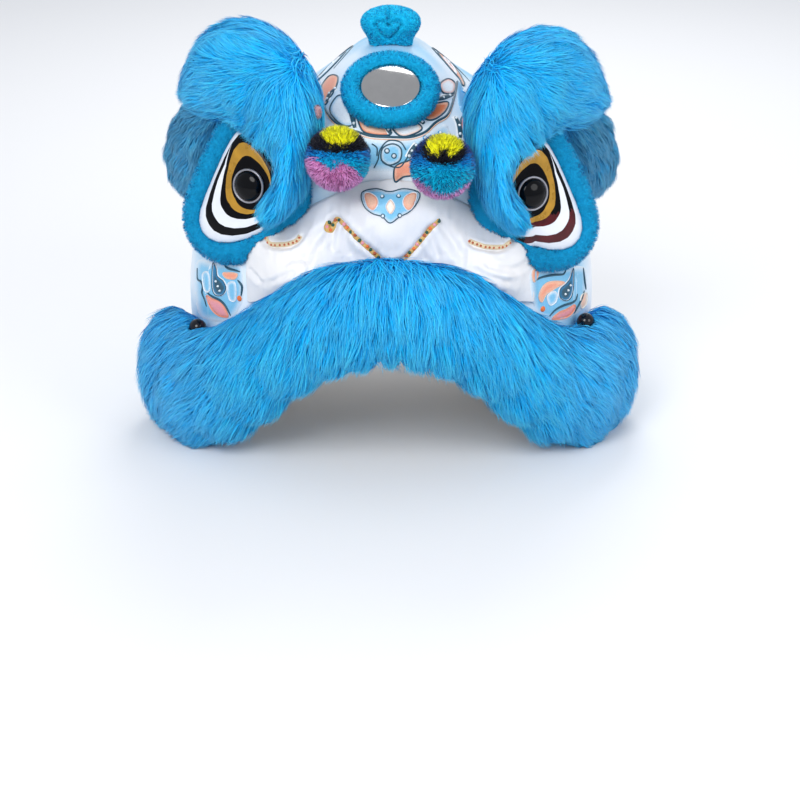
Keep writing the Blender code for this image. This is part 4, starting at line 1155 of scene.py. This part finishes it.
def rounded(points, closed=True, each=5):
    """A smooth curve through points."""
    count = len(points)
    spans = count if closed else count - 1
    out = []
    for k in range(spans):
        if closed:
            p = [Vector(points[(k + i - 1) % count]) for i in range(4)]
        else:
            p = [Vector(points[min(max(k + i - 1, 0), count - 1)]) for i in range(4)]
        for i in range(each):
            t = i / each
            out.append(
                0.5
                * (
                    2 * p[1]
                    + (p[2] - p[0]) * t
                    + (2 * p[0] - 5 * p[1] + 4 * p[2] - p[3]) * t * t
                    + (3 * p[1] - 3 * p[2] + p[3] - p[0]) * t**3
                )
            )
    if not closed:
        out.append(Vector(points[-1]))
    return out


def inside(point, outline):
    hit = False
    for a, b in zip(outline, outline[1:] + outline[:1]):
        if (a.y > point.y) != (b.y > point.y):
            if point.x < (b.x - a.x) * (point.y - a.y) / (b.y - a.y) + a.x:
                hit = not hit
    return hit


def gap_to(point, outline):
    best = 1e9
    for a, b in zip(outline, outline[1:] + outline[:1]):
        side = b - a
        share = min(max((point - a).dot(side) / max(side.length_squared, 1e-12), 0), 1)
        best = min(best, (point - a - side * share).length)
    return best


class Trim:
    """Thin printed or sewn trim on a surface. The unit is the size in metres of a drawing's step."""

    SUNK = -0.0004
    EDGE = 0.0009
    GRID = 0.0032
    # A line's section: places across it in shares of its width, and heights. None is sunk under the surface.
    SECTION = ((-0.5, None), (-0.34, 0.75), (0, 1.0), (0.34, 0.75), (0.5, None))
    DOME_RISES = (-0.3, 0.35, 0.7, 0.92)

    def __init__(self, seat, unit):
        self.seat = seat
        self.unit = unit
        self.points, self.faces, self.colours, self.kinds = [], [], [], []

    def add(self, place, normal, height, colour):
        self.points.append(place + normal * height)
        self.colours.append(colour[:3])
        return len(self.points) - 1

    def face(self, corners, kind=0):
        self.faces.append(tuple(corners))
        self.kinds.append(kind)

    def patch(self, outline, middle, rim, height=0.0009, reach=0.004):
        """A filled shape whose colour goes from the rim's to the middle's."""
        outline = rounded(outline)
        edge = self.EDGE / self.unit
        low = [min(p[i] for p in outline) for i in (0, 1)]
        high = [max(p[i] for p in outline) for i in (0, 1)]
        size = min(high[0] - low[0], high[1] - low[1])
        spacing = min(self.GRID / self.unit, size / 7)
        reach = min(reach / self.unit, size / 4)
        inner = []
        for k, point in enumerate(outline):
            along = (outline[(k + 1) % len(outline)] - outline[k - 1]).normalized()
            for turn in (1, -1):
                moved = point + Vector((-along.y, along.x)) * edge * turn
                if inside(moved, outline) and gap_to(moved, outline) > edge * 0.6:
                    inner.append(moved)
        grid = []
        for i in range(int((high[0] - low[0]) / spacing) + 1):
            for j in range(int((high[1] - low[1]) / spacing) + 1):
                point = Vector((low[0] + (i + 0.5) * spacing, low[1] + (j + 0.5) * spacing))
                if inside(point, outline) and gap_to(point, outline) > edge * 1.8:
                    grid.append(point)
        count = len(outline)
        rim_loop = [(k, (k + 1) % count) for k in range(count)]
        drawn = outline + inner + grid
        flat, _, faces, _, _, _ = delaunay_2d_cdt(drawn, rim_loop, [list(range(count))], 1, 1e-6)
        numbers = []
        for point in flat:
            gap = gap_to(point, outline)
            share = min(gap / reach, 1)
            place, normal = self.seat(*point)
            colour = [b + (a - b) * share for a, b in zip(middle[:3], rim[:3])]
            numbers.append(self.add(place, normal, self.SUNK if gap < edge * 0.5 else height, colour))
        for corners in faces:
            a, b, c = [self.points[numbers[i]] for i in corners[:3]]
            middle_spot = (flat[corners[0]] + flat[corners[1]] + flat[corners[2]]) / 3
            _, normal = self.seat(*middle_spot)
            order = corners if (b - a).cross(c - a).dot(normal) > 0 else corners[::-1]
            self.face([numbers[i] for i in order])

    def line(self, points, width, colour, height=0.0010, closed=False, taper=0.0):
        """A raised line with a domed section."""
        seats = [self.seat(*p) for p in rounded(points, closed)]
        count = len(seats)
        rows = []
        for k, (place, normal) in enumerate(seats):
            after = seats[(k + 1) % count if closed else min(k + 1, count - 1)][0]
            before = seats[k - 1 if closed or k else 0][0]
            side = (after - before).cross(normal).normalized()
            share = k / (count - 1)
            scale = 1 - taper * abs(2 * share - 1) ** 2
            row = []
            for across, rise in self.SECTION:
                lifted = self.SUNK if rise is None else height * rise * scale
                row.append(self.add(place + side * across * width * scale, normal, lifted, colour))
            rows.append(row)
        pairs = list(zip(rows, rows[1:])) + ([(rows[-1], rows[0])] if closed else [])
        for here, there in pairs:
            for i in range(len(self.SECTION) - 1):
                self.face((here[i], here[i + 1], there[i + 1], there[i]))
        if not closed:
            self.face(rows[0][::-1])
            self.face(rows[-1])

    def dome(self, across, down, radius, colour, height=None, kind=1, around=10):
        """A small round gem or bead."""
        place, normal = self.seat(across, down)
        side = normal.orthogonal().normalized()
        beside = normal.cross(side)
        height = height or radius * 0.7
        rings = []
        for rise in self.DOME_RISES:
            reach = radius * math.sqrt(max(1 - max(rise, 0) ** 2, 0.0))
            ring = []
            for k in range(around):
                turn = 2 * math.pi * k / around
                out = side * math.cos(turn) + beside * math.sin(turn)
                ring.append(self.add(place + out * reach, normal, rise * height, colour))
            rings.append(ring)
        top = self.add(place, normal, height, colour)
        for here, there in zip(rings, rings[1:]):
            for k in range(around):
                self.face((here[k], here[(k + 1) % around], there[(k + 1) % around], there[k]), kind)
        for k in range(around):
            self.face((rings[-1][k], rings[-1][(k + 1) % around], top), kind)

    def gem(self, across, down, radius, border):
        """A gem in a darker setting."""
        self.dome(across, down, radius * 1.5, border, height=0.0024, kind=0, around=12)
        self.dome(across, down, radius, GEM, height=0.0042, around=12)

    def piece(self, name):
        materials = [print_material(), gloss_material("gem_gloss", GEM, 0.10, coat=0.8, mottle=0.12)]
        mesh = mesh_of(name, self.points, self.faces, self.kinds)
        layer = mesh.color_attributes.new("print_colour", "FLOAT_COLOR", "POINT")
        flat = [value for colour in self.colours for value in (*colour, 1.0)]
        layer.data.foreach_set("color", flat)
        new_piece(name, mesh, materials)


# Applied trim

TEAL = linear(18, 76, 98)
CORAL = linear(244, 158, 128)
PEACH = linear(250, 200, 172)
ORANGE = linear(238, 116, 52)
ROSE = linear(240, 158, 170)
SKY = linear(122, 194, 232)
DEEP_SKY = linear(40, 150, 210)
CREAM = linear(246, 238, 226)
SNOW = linear(238, 244, 250)
GOLD = linear(206, 166, 92)
BEIGE = linear(228, 206, 168)
RUST = linear(190, 92, 52)
PINE = linear(24, 84, 66)
GEM = linear(236, 244, 248)

BAND_WIDTH = 0.0088
BAND_GEM = 0.0023


def print_material():
    """Printed and sewn trim, in the colours stored on it."""
    material, tree, shader = new_material("printed_trim")
    stored = add_node(tree, "ShaderNodeVertexColor", layer_name="print_colour")
    fleck = noise_node(tree, 700, 2.0)
    tone = ramp_node(tree, fleck.outputs["Fac"], [(0.3, (0.86, 0.86, 0.86, 1)), (0.7, (1, 1, 1, 1))])
    mix = add_node(tree, "ShaderNodeMix", data_type="RGBA", blend_type="MULTIPLY")
    mix.inputs["Factor"].default_value = 1.0
    tree.links.new(stored.outputs["Color"], mix.inputs["A"])
    tree.links.new(tone.outputs["Color"], mix.inputs["B"])
    tree.links.new(mix.outputs["Result"], shader.inputs["Base Color"])
    bump_node(tree, shader, fleck.outputs["Fac"], 0.0003, 0.4)
    shader.inputs["Roughness"].default_value = 0.42
    shader.inputs["Sheen Weight"].default_value = 0.1
    return material


def leaf(trim, outline, middle, rim, border=TEAL, width=0.0024, height=0.0009):
    trim.patch(outline, middle, rim, height=height)
    trim.line(outline, width, border, height=height + 0.0008, closed=True)


def banded(trim, path, gems):
    """A broad band with white edges and gems along it."""
    trim.line(path, BAND_WIDTH * 1.3, SNOW, height=0.0012)
    trim.line(path, BAND_WIDTH, TEAL, height=0.0021, taper=0.35)
    curve = rounded(path, False, 8)
    for k in range(gems):
        spot = curve[int((k + 0.5) * (len(curve) - 1) / gems)]
        trim.dome(spot.x, spot.y, BAND_GEM, GEM, height=0.0034)


def beads(trim, path, every, radius, height, tones, around):
    """Round beads at even steps along a path."""
    curve = rounded(path, False, 12)
    walked, due, count = 0.0, 0.0, 0
    for a, b in zip(curve, curve[1:]):
        walked += (b - a).length
        if walked >= due:
            tone = tones[count % len(tones)]
            trim.dome(b.x, b.y, radius, tone, height=height, kind=0, around=around)
            due += every
            count += 1


def make_crown_trim(seat):
    trim = Trim(seat, METRES_A_POINT)
    ground = [(326, 134), (346, 131), (372, 138), (394, 140), (420, 136), (446, 124), (452, 148), (440, 168),
              (404, 172), (360, 172), (330, 162)]
    trim.patch(ground, SKY, SNOW, height=0.0004, reach=0.012)
    for outline, middle, rim in (
        ([(321, 96), (322, 86), (330, 76), (338, 77), (336, 88), (330, 98), (325, 105)], CORAL, PEACH),
        ([(338, 96), (346, 99), (351, 110), (353, 124), (345, 126), (336, 120), (330, 109)], SNOW, SKY),
        ([(357, 112), (370, 116), (380, 122), (391, 134), (375, 135), (362, 130)], PEACH, ORANGE),
        ([(388, 122), (400, 124), (412, 121), (422, 128), (414, 134), (400, 136)], SNOW, PEACH),
        ([(417, 113), (428, 106), (447, 102), (446, 110), (437, 118), (428, 120)], ORANGE, PEACH),
        ([(440, 84), (448, 79), (455, 84), (453, 93), (443, 93)], SNOW, CORAL),
        ([(395, 167), (408, 161), (415, 159), (413, 174), (403, 177), (395, 182)], CORAL, PEACH),
        ([(462, 117), (471, 121), (475, 132), (473, 144), (465, 138), (461, 128)], ROSE, ORANGE),
        ([(338, 146), (350, 140), (364, 143), (370, 152), (360, 158), (346, 156)], DEEP_SKY, SNOW),
        ([(420, 150), (432, 142), (444, 138), (444, 150), (434, 160), (424, 162)], DEEP_SKY, SNOW),
    ):
        leaf(trim, outline, middle, rim)
    for path, gems in (
        ([(337, 88), (330, 94), (327, 102)], 3),
        ([(350, 104), (352, 114), (355, 128)], 3),
        ([(378, 117), (385, 124), (391, 134)], 2),
        ([(412, 116), (419, 119), (424, 124)], 2),
        ([(434, 100), (443, 98), (452, 95)], 3),
        ([(417, 144), (412, 151), (408, 158)], 3),
        ([(455, 117), (459, 126), (460, 138)], 3),
    ):
        banded(trim, path, gems)
    corner = [(457, 80), (466, 92), (473, 110), (471, 117), (461, 112), (457, 98)]
    trim.patch(corner, DEEP_SKY, SKY, height=0.0006)
    edge = [(321, 92), (324, 106), (332, 119), (345, 128), (358, 132), (372, 136), (392, 137), (410, 137),
            (425, 132), (436, 122), (448, 114), (454, 97), (457, 82)]
    trim.line(edge, 0.0034, TEAL, height=0.0020)
    trim.line([(x, y + 2.6) for x, y in edge], 0.0016, PEACH, height=0.0016)
    button = [(381, 157), (383, 148), (393, 144), (401, 149), (400, 160), (391, 165), (384, 163)]
    leaf(trim, button, SKY, SNOW)
    for spot in ((387, 151), (394, 156)):
        trim.gem(*spot, 0.0026, TEAL)
    trim.line([(374, 168), (378, 160), (380, 150), (388, 141), (400, 142), (406, 150)], 0.0020, TEAL, 0.0018)
    trim.line([(381, 160), (390, 166), (400, 167), (407, 158), (415, 146)], 0.0020, TEAL, 0.0018)
    trim.line([(372, 144), (377, 148), (377, 156)], 0.0020, TEAL, 0.0018)
    for spot in ((468, 107), (463, 92), (440, 133), (425, 138)):
        trim.gem(*spot, 0.0022, DEEP_SKY)
    trim.piece("crown_trim")


# The side panels by points of the photograph. A drawing is drawn in towards the still column by the
# squeeze, so that it ends on the cover's own outline. A leaf has an outline, a middle and a rim colour.
SIDE_DRAWINGS = {
    "left": {
        "still": 244,
        "squeeze": 0.90,
        "ground": [(190, 263), (212, 262), (240, 264), (244, 285), (243, 301), (232, 318), (212, 322),
                   (192, 312)],
        "leaves": (
            ([(221.5, 272.5), (236.5, 273.5), (234, 279), (224.5, 278)], CORAL, PEACH),
            ([(226.4, 284), (234.5, 283), (235, 300), (228, 299)], SKY, SNOW),
            ([(198.5, 274), (205, 273), (206.5, 290), (200.5, 290)], SKY, SNOW),
            ([(202.5, 295.5), (209, 298.5), (218.5, 302), (224.5, 310), (226.5, 317), (216, 315.5),
              (207.5, 308)], ROSE, CORAL),
        ),
        "lines": (
            [(192.4, 268), (193, 279), (196.7, 281.5), (198.8, 286.4), (197.9, 292.4), (200.3, 298.5),
             (202.7, 306.4)],
            [(202.7, 291.8), (206.4, 294.8), (212.4, 297.9), (217.9, 300.3), (222.7, 304.5), (226.4, 310),
             (229.4, 315.5)],
            [(222.7, 264.5), (224.5, 267), (228.2, 268.8), (233.6, 270), (240, 271.8)],
            [(237, 280), (242, 286), (241, 296)],
        ),
        "drop": [(210.5, 262.7), (214, 268), (215.6, 276), (222, 281), (225, 288), (221, 294.5), (214, 295),
                 (210, 289), (209.5, 278)],
        "gems": ((214, 281), (216.5, 286), (218.5, 290.5)),
        "spot": (239, 298.5),
    },
    "right": {
        "still": 531,
        "squeeze": 0.84,
        "ground": [(531, 270), (552, 268), (575, 266), (596, 268), (598, 290), (594, 308), (574, 320),
                   (552, 321), (536, 312), (530, 290)],
        "leaves": (
            ([(570.5, 282.4), (559.6, 281), (549, 283), (542.5, 289.4), (540, 297), (543.5, 302), (549, 294),
              (558, 289)], CORAL, PEACH),
            ([(550, 296), (557, 291), (562, 294), (560, 302), (553, 305)], SKY, SNOW),
            ([(555.8, 319.4), (563.5, 312.4), (572.4, 309.2), (583, 304.5), (581.3, 311.1),
              (572.4, 317.5)], ROSE, CORAL),
            ([(532, 272), (540, 268), (539, 276), (534, 282)], CORAL, PEACH),
            ([(590, 296), (597, 293), (596, 304), (590, 308)], PEACH, CREAM),
        ),
        "lines": (
            [(535.4, 281), (541, 278), (549.4, 276), (559.6, 274.8), (569.2, 274.1), (572.4, 269)],
            [(552.6, 316.2), (559.6, 309.8), (569.2, 305.4), (578.8, 302.8), (584, 299.6), (586, 293.9)],
            [(582, 313), (586.4, 306), (590.9, 298.4), (594, 290.7)],
            [(592.8, 267.8), (594.1, 280.5), (596, 289.4)],
        ),
        "drop": [(580.5, 268), (581, 277), (580.5, 286), (578, 296), (572, 300.5), (564.5, 297), (564.5, 289),
                 (571, 284), (576.5, 278)],
        "gems": ((570.5, 294), (574, 290), (577, 285)),
        "spot": (545, 309),
    },
}


def make_side_trim(label, front_seat):
    drawing = SIDE_DRAWINGS[label]
    still = drawing["still"]

    def seat(across, down):
        return front_seat(still + (across - still) * drawing["squeeze"], down)

    trim = Trim(seat, METRES_A_POINT)
    trim.patch(drawing["ground"], SKY, SNOW, height=0.0003, reach=0.009)
    for outline, middle, rim in drawing["leaves"]:
        leaf(trim, outline, middle, rim, border=rim, width=0.0012)
    for path in drawing["lines"]:
        trim.line(path, 0.0034, TEAL, height=0.0024, taper=0.5)
    leaf(trim, drawing["drop"], TEAL, DEEP_SKY, border=SNOW, width=0.0026, height=0.0014)
    trim.line(drawing["drop"], 0.0016, TEAL, height=0.0030, closed=True)
    for gem in drawing["gems"]:
        trim.gem(*gem, 0.0019, TEAL)
    trim.dome(*drawing["spot"], 0.0040, ORANGE, height=0.0016, kind=0, around=16)
    trim.piece(f"side_trim_{label}")


def make_nose_trim(seat):
    trim = Trim(seat, METRES_A_POINT)
    motif = [(362, 193), (363.8, 205.7), (372.3, 213.5), (382, 216.5), (390, 223), (400, 216.5), (409, 212),
             (417, 203), (419, 193), (404, 189), (390, 192), (376, 189)]
    leaf(trim, motif, SKY, SNOW, border=TEAL, width=0.0016)
    for outline in (
        [(364.5, 195), (370, 193.5), (377, 198), (378, 205), (373, 210.5), (367, 206)],
        [(416.5, 195), (411, 193.5), (404, 198), (403, 205), (408, 210.5), (413.5, 206)],
    ):
        leaf(trim, outline, PEACH, CORAL, border=SNOW, width=0.0014, height=0.0018)
    leaf(trim, [(390.6, 200), (395, 207), (390.6, 214), (386, 207)], CREAM, PEACH, SNOW, 0.0010, 0.0018)
    for spot in ((382.5, 197), (398.5, 196.5), (383, 216), (399.5, 215.5)):
        trim.gem(*spot, 0.0021, TEAL)
    for path in (
        [(329, 222), (327, 228), (331, 230), (335, 222), (339, 219), (347.4, 227.9), (360.5, 241),
         (373.6, 252.7), (384, 262)],
        [(439, 220), (428.5, 230.5), (418, 243.6), (407.5, 255.4), (397.1, 264.5)],
    ):
        trim.line(path, 0.0078, GOLD, height=0.0020)
        beads(trim, path, 5.4, 0.0026, 0.0040, (PINE, ROSE, ORANGE, PINE, RUST), 10)
    for path in (
        [(266.4, 238.4), (270.3, 243.9), (278.1, 244.8), (287.3, 244.2), (296.4, 241), (300.4, 235.8)],
        [(469, 241), (478, 244.5), (487, 247), (502, 247), (510, 242)],
    ):
        trim.line(path, 0.0064, BEIGE, height=0.0016)
        beads(trim, path, 4.2, 0.0018, 0.0030, (RUST,), 8)
    trim.piece("nose_trim")


# A generic curved drop, in shares of its size.
DROP_OUTLINE = (
    (-0.42, 0.0), (-0.30, -0.34), (0.0, -0.46), (0.32, -0.30), (0.46, 0.05), (0.42, 0.45), (0.30, 0.85),
    (0.52, 1.2), (0.16, 1.02), (-0.14, 0.62), (-0.34, 0.34),
)
DROP_LEAN = 0.105
CURL_STEPS = 14
# Where the drops of the back, the crown and the flanks are, in metres across and up in each view.
COVER_SPOTS = {
    "back": (
        {"at": (-0.175, 0.295), "size": 0.032, "turn": -0.5},
        {"at": (0.175, 0.295), "size": 0.032, "turn": 0.5},
        {"at": (-0.06, 0.350), "size": 0.026, "turn": 2.2},
        {"at": (0.06, 0.350), "size": 0.026, "turn": -2.2},
    ),
    "crown": (
        {"at": (-0.075, 0.265), "size": 0.032, "turn": 0.9},
        {"at": (0.075, 0.265), "size": 0.032, "turn": -0.9},
        {"at": (0.0, 0.185), "size": 0.030, "turn": 0.2},
        {"at": (-0.145, 0.215), "size": 0.028, "turn": 2.4},
        {"at": (0.145, 0.215), "size": 0.028, "turn": -2.4},
    ),
    "flank": (
        {"at": (0.06, 0.14), "size": 0.040, "turn": -0.7},
        {"at": (0.135, 0.22), "size": 0.032, "turn": 0.4},
        {"at": (0.04, 0.045), "size": 0.026, "turn": -1.6},
        {"at": (0.115, 0.075), "size": 0.028, "turn": 1.4},
    ),
}
COVER_VIEWS = (
    {"name": "back", "facing": (0, 1, 0), "spots": "back", "mirrored": 1},
    {"name": "crown", "facing": (0, 0.65, 0.76), "spots": "crown", "mirrored": 1},
    {"name": "flank_left", "facing": (-1, 0, 0), "spots": "flank", "mirrored": -1},
    {"name": "flank_right", "facing": (1, 0, 0), "spots": "flank", "mirrored": 1},
)
COVER_FILLS = ((CORAL, PEACH), (SKY, SNOW), (ROSE, CORAL), (DEEP_SKY, SKY), (PEACH, ORANGE))


def drop_shape(spot, mirrored, scale):
    """The outline of a drop at its spot, scaled about its own origin."""
    size, turn = spot["size"], spot["turn"]
    points = []
    for u, v in DROP_OUTLINE:
        moved = u + DROP_LEAN * v
        across = size * (moved * math.cos(turn) - v * math.sin(turn))
        upward = size * (moved * math.sin(turn) + v * math.cos(turn))
        points.append((spot["at"][0] * mirrored + across * mirrored * scale, spot["at"][1] + upward * scale))
    return points


def curl_round(spot, mirrored):
    """A curl that opens round a drop."""
    points = []
    for step in range(CURL_STEPS):
        turn = spot["turn"] + 2.5 + step * 0.36
        radius = spot["size"] * (0.92 - 0.035 * step)
        across = radius * math.cos(turn) * mirrored
        points.append((spot["at"][0] * mirrored + across, spot["at"][1] + radius * math.sin(turn)))
    return points


def make_cover_trim(tree):
    """Drops of the same kind on the back and the sides of the cover, which the photograph doesn't show."""
    for view in COVER_VIEWS:
        mirrored = view["mirrored"]
        trim = Trim(seat_on_side(tree, (0, SHELL_MIDDLE[1], 0), view["facing"]), 1.0)
        for k, spot in enumerate(COVER_SPOTS[view["spots"]]):
            middle, rim = COVER_FILLS[k % len(COVER_FILLS)]
            outline = drop_shape(spot, mirrored, 1)
            trim.patch(outline, middle, rim, reach=0.008)
            trim.line(outline, 0.0026, TEAL, height=0.0018, closed=True)
            trim.line(drop_shape(spot, mirrored, 0.5), 0.0018, SNOW, height=0.0022, closed=True)
            trim.dome(spot["at"][0] * mirrored, spot["at"][1], spot["size"] * 0.08, GEM, height=0.004)
            trim.line(curl_round(spot, mirrored), 0.0026, TEAL, height=0.0016, taper=0.6)
        trim.piece(f"cover_trim_{view['name']}")


def make_trim(shell_mesh, nose_mesh):
    shell = merged_tree([shell_mesh])
    front_seat = seat_in_picture(merged_tree([shell_mesh, nose_mesh]))
    make_crown_trim(front_seat)
    for label, _ in SIDES:
        make_side_trim(label, front_seat)
    make_nose_trim(front_seat)
    make_cover_trim(shell)


bpy.context.scene.view_settings.view_transform = "Standard"
make_camera()
make_studio()
make_fur()
make_plush()
make_eyes()
make_mirror()
make_small_parts()
make_pompoms()
make_trim(make_shell(), make_nose())
